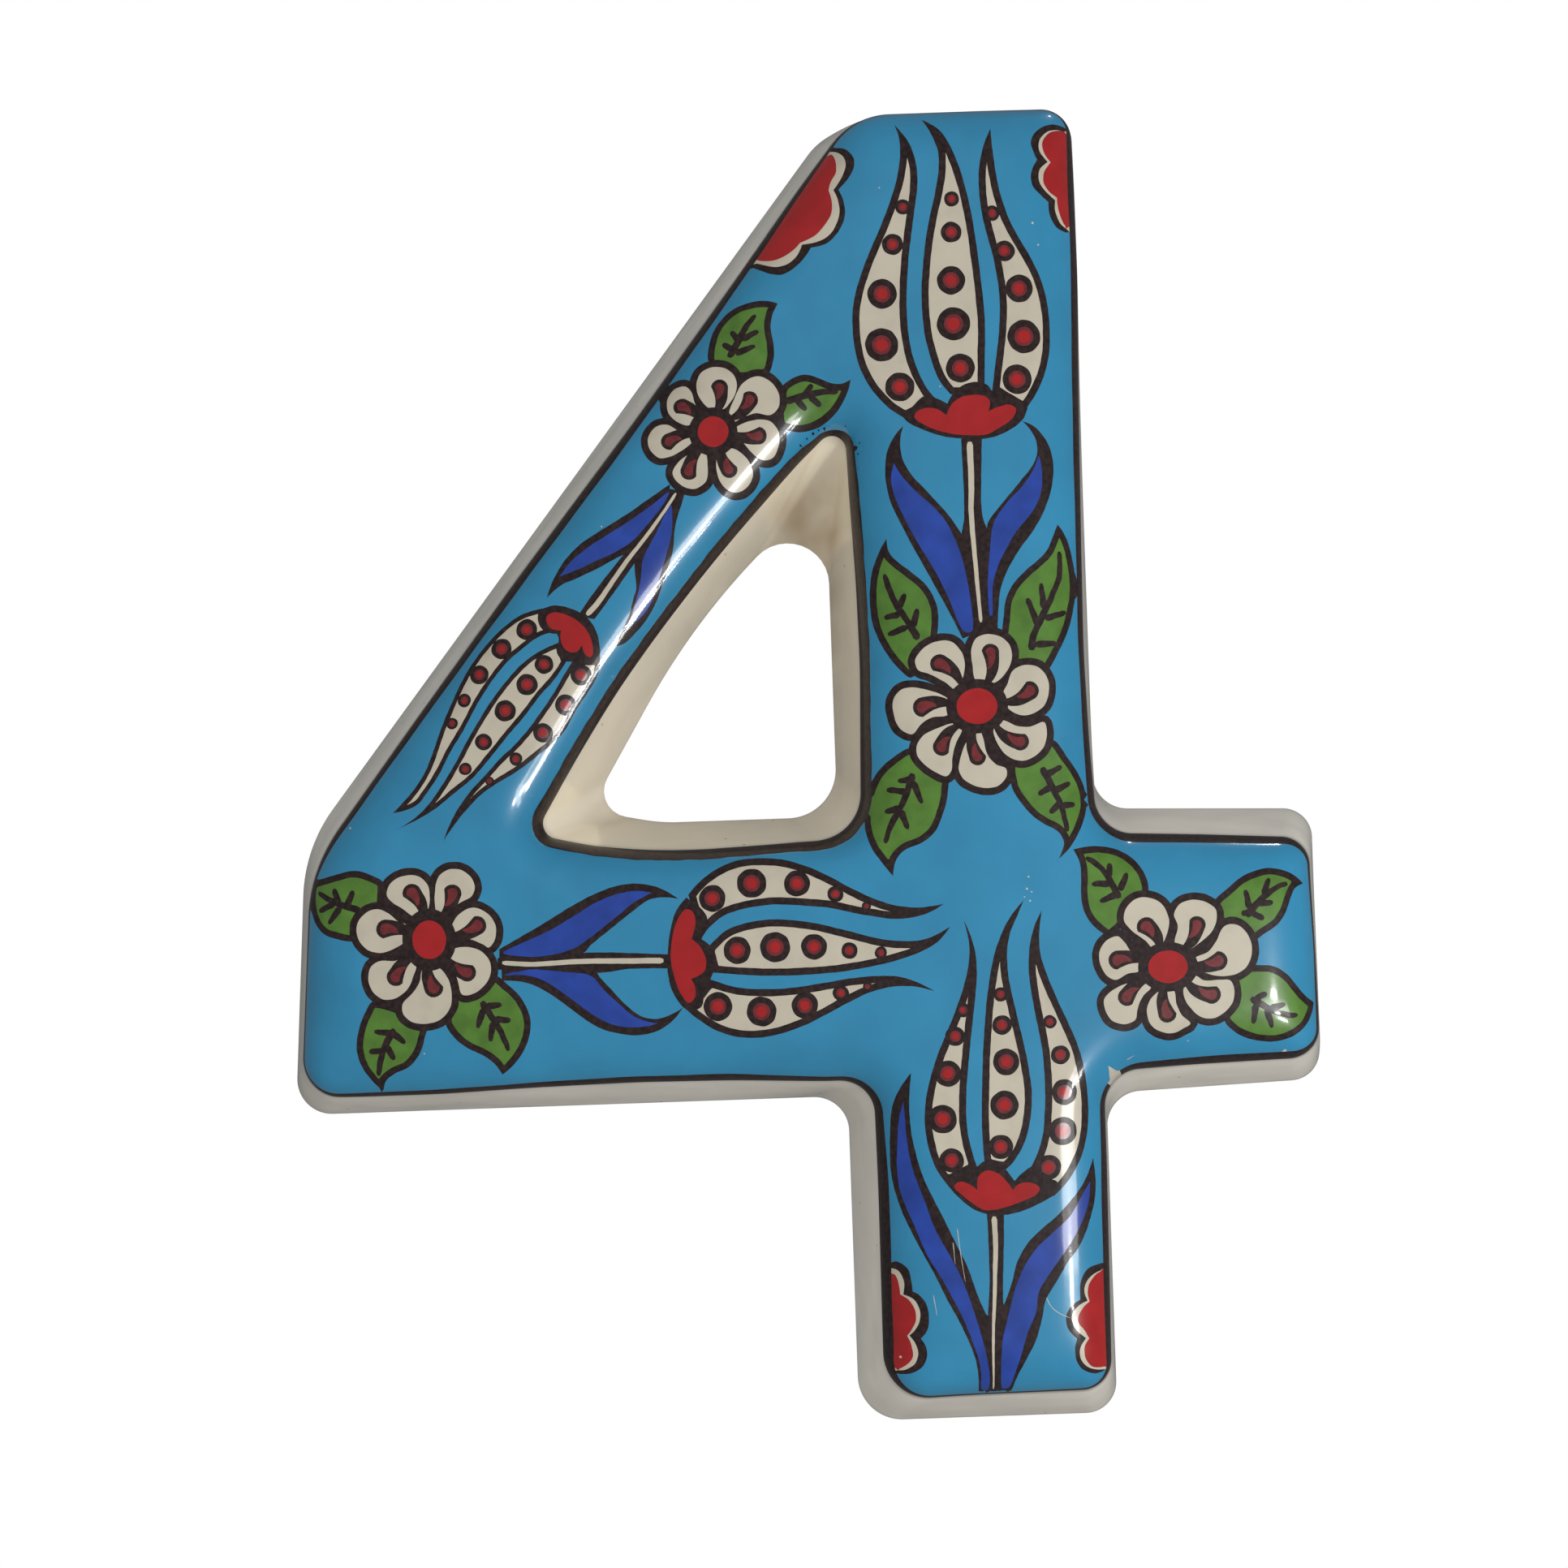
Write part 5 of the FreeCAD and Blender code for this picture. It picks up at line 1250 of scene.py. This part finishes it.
def painted_face(rims):
    """The painted face between its rims: points, triangles and their finishes. The painted outlines are fixed
    edges, with a filling of loose points between them."""
    shapes = painted_shapes()
    border = np.concatenate(rims)
    points, edges = [border], ring_edges(rims)
    start = len(border)
    for _, loop in shapes:
        clear = between(loop, rims)
        clear &= np.sqrt(((loop[:, None] - border[None]) ** 2).sum(2).min(1)) > BORDER_GAP
        index = np.where(clear, start + np.cumsum(clear) - 1, -1)
        pairs = np.stack([index, np.roll(index, -1)], 1)
        edges.append(pairs[(pairs >= 0).all(1)])
        points.append(loop[clear])
        start += clear.sum()
    fixed = np.concatenate(points)
    low, high = fixed.min(0), fixed.max(0)
    columns, rows = np.arange(low[0], high[0], FILL_PITCH), np.arange(low[1], high[1], FILL_PITCH * 0.87)
    gx, gz = np.meshgrid(columns, rows)
    gx = gx + (np.arange(gx.shape[0]) % 2)[:, None] * FILL_PITCH / 2
    fill = np.stack([gx.ravel(), gz.ravel()], 1)
    taken = np.zeros((np.ceil((high - low) / FILL_CELL) + 4).astype(int), bool)
    where = ((fixed - low) / FILL_CELL).astype(int) + 1
    for dx in (-1, 0, 1):
        for dz in (-1, 0, 1):
            taken[where[:, 0] + dx, where[:, 1] + dz] = True
    at = ((fill - low) / FILL_CELL).astype(int) + 1
    fill = fill[~taken[at[:, 0], at[:, 1]]]
    fill = fill[between(fill, rims)]
    points, tris, middle = triangulated(np.concatenate([fixed, fill]), edges, rims, 2e-3, 1e-9, 1)
    finishes = np.zeros(len(tris), int)
    for finish, loop in shapes:
        finishes[inside(middle, loop)] = FINISHES.index(finish)
    used = np.unique(tris)
    renumber = np.full(len(points), -1)
    renumber[used] = np.arange(len(used))
    return points[used], renumber[tris], finishes


def flat_back(rims):
    """The flat back between its rims, over a loose grid of points: its points and triangles."""
    rim = np.concatenate(rims)
    gx, gz = np.meshgrid(np.arange(-78, 40, 4.0), np.arange(-52, 96, 4.0))
    fill = np.stack([gx.ravel(), gz.ravel()], 1)
    fill = fill[between(fill, rims)]
    gap = np.linalg.norm(fill[:, None] - rim[None], axis=2).min(1)
    points = np.concatenate([rim, fill[gap > 1.5]])
    return triangulated(points, ring_edges(rims), rims, 1e-5, 1e-5, -1)[:2]


def ring_index(bands, row, rows=1):
    """Numbers of the vertices in the given rows of both walls."""
    runs = [np.arange(rows * columns) + start + row * columns for start, columns, _, _ in bands]
    return np.concatenate(runs)


def joined(verts, points, rims, rim_index):
    """The vertices with the points added, and each point's number among them. A point on a rim takes the
    vertex that the wall has there."""
    rim = np.concatenate(rims)
    parts = (rim[i : i + 200, None] for i in range(0, len(rim), 200))
    nearest = [((part - points[None]) ** 2).sum(2).argmin(1) for part in parts]
    target = len(verts) + np.arange(len(points))
    target[np.concatenate(nearest)] = rim_index
    return np.concatenate([verts, at_depth(points)]), target


def plaque_mesh(size, materials):
    """The glazed body: drafted walls, the dark line over the edge, the painted domed face and a flat back."""
    rng = np.random.default_rng(7)
    outer, hole = outline_corners(size)
    wall_height = size.wall_height / MM
    verts, quads, quad_finish = [], [], []
    rims, band_rims, back_rims, bands = [], [], [], []
    first = 0
    for corners, rounds, back_rounds, spreads, stations, into, wall in (
        (outer, OUTER_ROUNDS, OUTER_ROUNDS, OUTER_SPREADS, OUTER_EDGE, -1.0, "wall"),
        (hole, HOLE_ROUNDS, HOLE_BACK_ROUNDS, HOLE_SPREADS, HOLE_EDGE, 1.0, "hole_wall"),
    ):
        counts = step_counts(corners, rounds, 0.4, 0.6)
        loop, left = rounded_loop(corners, rounds, counts)
        columns = len(loop)
        shift, width = finished_edge(loop, stations, rng)
        loop = loop + into * left * shift[:, None]
        outward = outward_normals(loop, -into * left)
        rims.append(loop)
        rows = wall_rings(corners, back_rounds, spreads, counts, loop, outward, into, wall_height)

        # The edge line's rings climb the start of the dome, and the chip interrupts them.
        rows += [at_depth(loop - outward * (step * width)[:, None]) for step in BAND_ROWS]
        verts.append(np.concatenate(rows))
        bands.append((first, columns, outward, width))
        quads.append(grid_faces(first, len(rows), columns, into < 0))
        finish = np.full((len(rows) - 1, columns), FINISHES.index(wall))
        finish[WALL_ROWS:] = FINISHES.index("line")
        chipped = np.hypot(loop[:, 0] - CHIP_GAP[0], loop[:, 1] - CHIP_GAP[1]) < CHIP_GAP[2]
        finish[WALL_ROWS:, chipped] = FINISHES.index("ivory")
        quad_finish.append(finish.ravel())
        band_rims.append(rows[-1][:, [0, 2]])
        back_rims.append(rows[0][:, [0, 2]])
        first += len(rows) * columns
    verts, quads, quad_finish = (np.concatenate(part) for part in (verts, quads, quad_finish))

    # The face's border vertices are the last ring of each edge line.
    points, face_tris, tri_finish = painted_face(band_rims)
    face_first = len(verts)
    verts, target = joined(verts, points, band_rims, ring_index(bands, WALL_ROWS + len(BAND_ROWS) - 1))
    face_tris = target[face_tris]

    # Heights and normals of the edge line and the face.
    rows = len(BAND_ROWS)
    domed = np.concatenate([ring_index(bands, WALL_ROWS, rows), np.arange(face_first, len(verts))])
    u, slope = smooth_distance(verts[domed][:, [0, 2]], rims)
    position = 0
    for _, columns, outward, width in bands:
        inset = (BAND_ROWS[:, None] * width[None]).ravel()
        blend = np.clip(inset / np.tile(width, rows), 0, 1)
        blend = blend**2 * (3 - 2 * blend)
        part = slice(position, position + rows * columns)
        u[part] = inset * (1 - blend) + u[part] * blend
        slope[part] = -np.tile(outward, (rows, 1)) * (1 - blend[:, None]) + slope[part] * blend[:, None]
        position += rows * columns
    height, steep = dome(u, size)
    verts[domed, 1] = -wall_height - height
    lean = slope * steep[:, None]
    normal = np.column_stack([-lean[:, 0], -np.ones(len(lean)), -lean[:, 1]])

    # The back's border vertices are the first ring of each wall.
    points, back_tris = flat_back(back_rims)
    verts, target = joined(verts, points, back_rims, ring_index(bands, 0))
    back_tris = target[back_tris]
    tris = np.concatenate([face_tris, back_tris])
    tri_finish = np.concatenate([tri_finish, np.full(len(back_tris), FINISHES.index("back"))])

    # Normals of the walls and back come from their faces, those of the dome from its slope.
    normals = np.zeros_like(verts)
    corners = np.concatenate([quads[:, [0, 1, 2]], quads[:, [0, 2, 3]], back_tris])
    a, b, c = (verts[corners[:, i]] for i in range(3))
    face_normal = np.cross(b - a, c - a)
    for i in range(3):
        np.add.at(normals, corners[:, i], face_normal)
    normals /= np.maximum(np.linalg.norm(normals, axis=1), 1e-12)[:, None]
    normals[domed] = normal / np.linalg.norm(normal, axis=1)[:, None]

    # Vertices that no face uses are dropped.
    used = np.zeros(len(verts), bool)
    used[quads.ravel()] = True
    used[tris.ravel()] = True
    renumber = np.cumsum(used) - 1
    print("plaque mesh", used.sum(), "vertices,", len(quads) * 2 + len(tris), "triangles")
    faces = (renumber[quads], renumber[tris], quad_finish, tri_finish)
    return put_mesh("glazed_plaque", verts[used], *faces, normals[used], materials)


# Materials


def add_node(tree, kind, inputs=(), **settings):
    """Adds a node, sets its settings, and links or sets its inputs by name or number."""
    node = tree.nodes.new(kind)
    for key, value in settings.items():
        setattr(node, key, value)
    for key, value in dict(inputs).items():
        socket = node.inputs[key]
        if isinstance(value, bpy.types.NodeSocket):
            tree.links.new(value, socket)
        else:
            socket.default_value = value
    return node


def shade(rgba, factor):
    """The colour made darker or lighter by a factor."""
    return tuple(min(1.0, v * factor) for v in rgba[:3]) + (1.0,)


def ramp_node(tree, factor, stops):
    """Colour ramp through the given places and colours."""
    node = add_node(tree, "ShaderNodeValToRGB", {"Fac": factor})
    ramp = node.color_ramp
    ramp.elements[0].position, ramp.elements[0].color = stops[0]
    ramp.elements[1].position, ramp.elements[1].color = stops[-1]
    for position, rgba in stops[1:-1]:
        ramp.elements.new(position).color = rgba
    return node.outputs["Color"]


def noise(tree, place, grain, detail):
    """Noise whose lumps are about as wide as the grain in mm."""
    inputs = {"Vector": place, "Scale": 1 / (grain * MM), "Detail": detail}
    return add_node(tree, "ShaderNodeTexNoise", inputs).outputs["Fac"]


def ranged(tree, value, low, high, to_low=0.0, to_high=1.0):
    """The value's run from low to high laid over another run, and held at its ends."""
    inputs = {"Value": value, "From Min": low, "From Max": high, "To Min": to_low, "To Max": to_high}
    return add_node(tree, "ShaderNodeMapRange", inputs).outputs["Result"]


def worked(tree, operation, first, second):
    """One step of arithmetic."""
    return add_node(tree, "ShaderNodeMath", {0: first, 1: second}, operation=operation).outputs[0]


def glazed(name, paint, grain, roughness=0.34, gloss=1.0, swell=1.0, skin=1.0):
    """A fired surface: painted colour, a broad dull sheen from the pigment, and a thin clear glaze that flows
    in low waves about 9 mm long, with a finer orange-peel skin about 1.2 mm across."""
    material = bpy.data.materials.new(name)
    material.use_nodes = True
    tree = material.node_tree
    tree.nodes.clear()
    place = add_node(tree, "ShaderNodeTexCoord").outputs["Object"]
    rgb = paint(tree, place)
    waves = {"Height": noise(tree, place, 9, 1.0), "Distance": 0.10 * MM * swell}
    low = add_node(tree, "ShaderNodeBump", waves).outputs["Normal"]
    peel = {"Height": noise(tree, place, 1.2, 2.0), "Distance": 0.005 * MM * skin, "Normal": low}
    high = add_node(tree, "ShaderNodeBump", peel).outputs["Normal"]
    inputs = {
        "Base Color": rgb,
        "Roughness": roughness,
        "IOR": 1.5,
        "Specular IOR Level": grain,
        "Coat Weight": gloss,
        "Coat Roughness": 0.1,
        "Coat IOR": 1.5,
        "Normal": high,
        "Coat Normal": high,
    }
    shader = add_node(tree, "ShaderNodeBsdfPrincipled", inputs)
    add_node(tree, "ShaderNodeOutputMaterial", {"Surface": shader.outputs["BSDF"]})
    return material


def brushed(main, dark, light, patch, broad=0.05):
    """Paint laid by brush: patches of thinner and thicker colour, their size in mm, and a slow drift."""

    def paint(tree, place):
        stops = [(0.3, shade(main, dark)), (0.5, main), (0.7, shade(main, light))]
        rgb = ramp_node(tree, noise(tree, place, patch, 3.0), stops)
        value = ranged(tree, noise(tree, place, 14, 1.0), 0.3, 0.7, 1 - broad, 1 + broad)
        return add_node(tree, "ShaderNodeHueSaturation", {"Color": rgb, "Value": value}).outputs["Color"]

    return paint


def pinholed(paint, brown):
    """The paint with a few brown pinholes, about 0.3 mm across, in some of the cells 3.6 mm wide."""

    def dotted(tree, place):
        cells = add_node(tree, "ShaderNodeTexVoronoi", {"Vector": place, "Scale": 1 / (3.6 * MM)})
        hole = ranged(tree, cells.outputs["Distance"], 0.035, 0.06, 1.0, 0.0)
        inputs = {0: hole, 6: paint(tree, place), 7: brown}
        return add_node(tree, "ShaderNodeMix", inputs, data_type="RGBA").outputs[2]

    return dotted


def pooling_and_painted_shade(cream, tan):
    """Wall glaze of the opening: cream at the front edge, browner towards the back, in the narrow top and on the
    right, in streaks that run down the wall. The brown is partly glaze that has run and pools there, and partly
    painted shade of the deep, narrow opening."""

    def paint(tree, place):
        axes = add_node(tree, "ShaderNodeSeparateXYZ", {"Vector": place}).outputs
        # Painted shade as well as pooling glaze: the brown grows towards the back of the opening, into its
        # narrow top and towards the stem on its right.
        depth = ranged(tree, axes["Y"], -14 * MM, 0.0)
        top = ranged(tree, axes["Z"], 20 * MM, 56 * MM, 0.35)
        right = ranged(tree, axes["X"], -36 * MM, -14 * MM, 0.4, 1.4)
        drawn = add_node(tree, "ShaderNodeVectorMath", {0: place, 1: (1, 0.2, 1)}, operation="MULTIPLY")
        streaks = worked(tree, "SUBTRACT", noise(tree, drawn.outputs[0], 5, 2.0), 0.24)
        low = worked(tree, "MULTIPLY", depth, top)
        total = worked(tree, "MULTIPLY", worked(tree, "MULTIPLY", low, streaks), right)
        tan_and_painted_shade = tuple(0.4 * light + 0.6 * brown for light, brown in zip(cream, tan))
        return ramp_node(tree, total, [(0.0, cream), (0.14, shade(cream, 0.88)), (0.42, tan_and_painted_shade)])

    return paint


def build_materials(glaze):
    """The plaque's finishes, in the order of FINISHES."""
    g = {key: tuple(getattr(glaze, key)) for key in glaze.__annotations__}
    run_down = pinholed(brushed(g["cream"], 0.95, 1.03, 6.0), g["tan"])
    in_opening = pinholed(pooling_and_painted_shade(g["cream_inside"], g["tan"]), g["tan"])
    made = {
        # Copper turquoise under clear glaze: an even, deep field with a slow drift in its depth.
        "turquoise": glazed("copper_turquoise_glaze", brushed(g["turquoise"], 0.95, 1.05, 5.0), 0.4),
        # Manganese line, a little raised and rougher, so the gloss breaks over it.
        "line": glazed(
            "manganese_line",
            brushed(g["line"], 0.6, 1.5, 0.5),
            0.2,
            roughness=0.4,
            gloss=0.4,
            swell=1.4,
            skin=2.5,
        ),
        # Ivory slip, opaque and faintly uneven.
        "ivory": glazed("ivory_slip_under_glaze", brushed(g["ivory"], 0.93, 1.03, 2.2, 0.03), 0.4),
        # Iron red, thicker in places, which leaves its skin less smooth.
        "red": glazed("iron_red_enamel", brushed(g["red"], 0.9, 1.08, 2.0), 0.2, skin=1.6),
        # Thin red over the dark line: it dries to a brownish red.
        "maroon": glazed("thin_red_over_manganese", brushed(g["maroon"], 0.75, 1.2, 0.6), 0.4),
        # Copper green, brushed thin, with darker streaks.
        "green": glazed("copper_green_glaze", brushed(g["green"], 0.82, 1.16, 2.0), 0.4, skin=1.4),
        # Cobalt, deep where it is thick.
        "cobalt": glazed("cobalt_blue_glaze", brushed(g["cobalt"], 0.8, 1.22, 3.0), 0.4),
        # Opaque cream tin glaze that has run down the walls, duller and in longer waves than the face.
        "wall": glazed("cream_tin_glaze", run_down, 0.1, roughness=0.4, swell=1.5),
        # The same glaze in the opening, browned where it has run and pools, with painted shade towards the back,
        # the narrow top and the right.
        "hole_wall": glazed("pooled_cream_glaze", in_opening, 0.1, roughness=0.4, swell=1.5),
        # The back was wiped clean: bare buff clay, dull and faintly gritty.
        "back": glazed(
            "bare_fired_clay", brushed(g["clay"], 0.85, 1.08, 1.2), 0.4, roughness=0.85, gloss=0.0, skin=6.0
        ),
    }
    return [made[finish] for finish in FINISHES]


# Operators


class PLAQUE_OT_glazed_plaque(bpy.types.Operator):
    """Build the glazed plaque with its painted face"""

    bl_idname = "plaque.glazed_plaque"
    bl_label = "Glazed plaque"

    def execute(self, context):
        scene = context.scene
        obj = plaque_mesh(scene.plaque_sizes, build_materials(scene.plaque_glazes))
        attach(obj, BODY)
        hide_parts(NODE)
        return {"FINISHED"}


class PLAQUE_OT_stage(bpy.types.Operator):
    """Add the floor, the lamps, the sky and the camera"""

    bl_idname = "plaque.stage"
    bl_label = "Stage"

    def execute(self, context):
        scene = context.scene
        build_floor(scene)
        build_lamps(scene)
        build_world(scene)
        build_camera(scene)
        scene.view_settings.view_transform = "Standard"
        return {"FINISHED"}


def build_floor(scene):
    """Plain pale table top under the plaque, left out of its gloss."""
    mesh = bpy.data.meshes.new("floor")
    half, near, far, z = (reach * MM for reach in (700, -900, 165, -120))
    mesh.from_pydata([(-half, near, z), (half, near, z), (half, far, z), (-half, far, z)], [], [(0, 1, 2, 3)])
    material = bpy.data.materials.new("pale_table")
    material.use_nodes = True
    shader = material.node_tree.nodes["Principled BSDF"]
    shader.inputs["Base Color"].default_value = linear("E8E6E2")
    shader.inputs["Roughness"].default_value = 0.8
    mesh.materials.append(material)
    floor = bpy.data.objects.new("floor", mesh)
    scene.collection.objects.link(floor)
    floor.visible_glossy = False


# Lamps: name, place and the point it faces in mm, its two sizes in mm, watts, whether the gloss shows it.
LAMPS = [
    ("upper_bulb", (150, -262, -38), (-10, -15, 10), (16, 8), 0.1, True),
    ("middle_glow", (168, -262, -66), (-10, -15, 10), (120, 32), 0.11, True),
    ("lower_bulb", (162, -262, -84), (-10, -15, 10), (12, 6), 0.1, True),
    ("bottom_bulb", (184, -262, -114), (-10, -15, 10), (40, 8), 0.12, True),
    ("ceiling_lamp", (150, 60, 420), (-10, -15, 20), (12, 12), 0.06, True),
    ("side_softbox", (420, -480, -240), (-10, -15, 20), (400, 400), 2.1, False),
    ("front_softbox", (-120, -560, 380), (-10, -15, 20), (600, 600), 1.1, False),
]


def build_lamps(scene):
    """Two wide lamps for the light, and small ones low on the right and above for the highlights."""
    for name, place, target, (wide, high), watts, glossy in LAMPS:
        data = bpy.data.lights.new(name, "AREA")
        data.shape = "RECTANGLE"
        data.size, data.size_y = wide * MM, high * MM
        data.energy = watts
        lamp = bpy.data.objects.new(name, data)
        lamp.visible_glossy = glossy
        scene.collection.objects.link(lamp)
        place = np.array(place) * MM
        back = place - np.array(target) * MM
        back /= np.linalg.norm(back)
        side = np.cross((0, 0, 1), back)
        side /= np.linalg.norm(side)
        up = np.cross(back, side)
        matrix = np.eye(4)
        matrix[:3, 0], matrix[:3, 1], matrix[:3, 2], matrix[:3, 3] = side, up, back, place
        lamp.matrix_world = Matrix(matrix.tolist())


def build_world(scene):
    """Plain white behind for the camera, an even pale light on every surface, and a dim room in the gloss."""
    world = bpy.data.worlds.new("studio")
    scene.world = world
    world.use_nodes = True
    tree = world.node_tree
    tree.nodes.clear()
    path = add_node(tree, "ShaderNodeLightPath").outputs
    lit, gloss, seen = (
        add_node(tree, "ShaderNodeBackground", {"Color": (1, 1, 1, 1), "Strength": strength}).outputs[0]
        for strength in (0.5, 0.12, 1.0)
    )
    near = add_node(tree, "ShaderNodeMixShader", {0: path["Is Glossy Ray"], 1: lit, 2: gloss}).outputs[0]
    mix = add_node(tree, "ShaderNodeMixShader", {0: path["Is Camera Ray"], 1: near, 2: seen})
    add_node(tree, "ShaderNodeOutputWorld", {"Surface": mix.outputs[0]})


def build_camera(scene):
    """Camera square to the face, low and to the left of its middle, turned two degrees."""
    data = bpy.data.cameras.new("camera")
    data.sensor_width = 36.0
    data.lens = 55.61
    data.shift_x, data.shift_y = 16 / 1932, 164 / 1932
    data.clip_start = 0.01
    camera = bpy.data.objects.new("camera", data)
    scene.collection.objects.link(camera)
    turn = math.radians(2.0)
    cos, sin = math.cos(turn), math.sin(turn)
    camera.matrix_world = Matrix(
        ((cos, sin, 0, -23.33 * MM), (0, 0, -1, -280 * MM), (-sin, cos, 0, 5.26 * MM), (0, 0, 0, 1))
    )
    scene.camera = camera


class PLAQUE_PT_sidebar(bpy.types.Panel):
    """Sizes, colours and the build steps"""

    bl_idname = "PLAQUE_PT_sidebar"
    bl_label = "House number plaque"
    bl_space_type = "VIEW_3D"
    bl_region_type = "UI"
    bl_category = "Plaque"

    def draw(self, context):
        for operator in (PLAQUE_OT_glazed_plaque, PLAQUE_OT_stage):
            self.layout.operator(operator.bl_idname)
        for group in (context.scene.plaque_sizes, context.scene.plaque_glazes):
            for key in group.__annotations__:
                self.layout.prop(group, key)


CLASSES = (PlaqueSizes, PlaqueGlazes, PLAQUE_OT_glazed_plaque, PLAQUE_OT_stage, PLAQUE_PT_sidebar)


def register():
    for cls in CLASSES:
        bpy.utils.register_class(cls)
    bpy.types.Scene.plaque_sizes = PointerProperty(type=PlaqueSizes)
    bpy.types.Scene.plaque_glazes = PointerProperty(type=PlaqueGlazes)


def unregister():
    del bpy.types.Scene.plaque_glazes
    del bpy.types.Scene.plaque_sizes
    for cls in reversed(CLASSES):
        bpy.utils.unregister_class(cls)


def main():
    register()
    bpy.ops.plaque.glazed_plaque()
    bpy.ops.plaque.stage()
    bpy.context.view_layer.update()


if __name__ == "__main__":
    main()
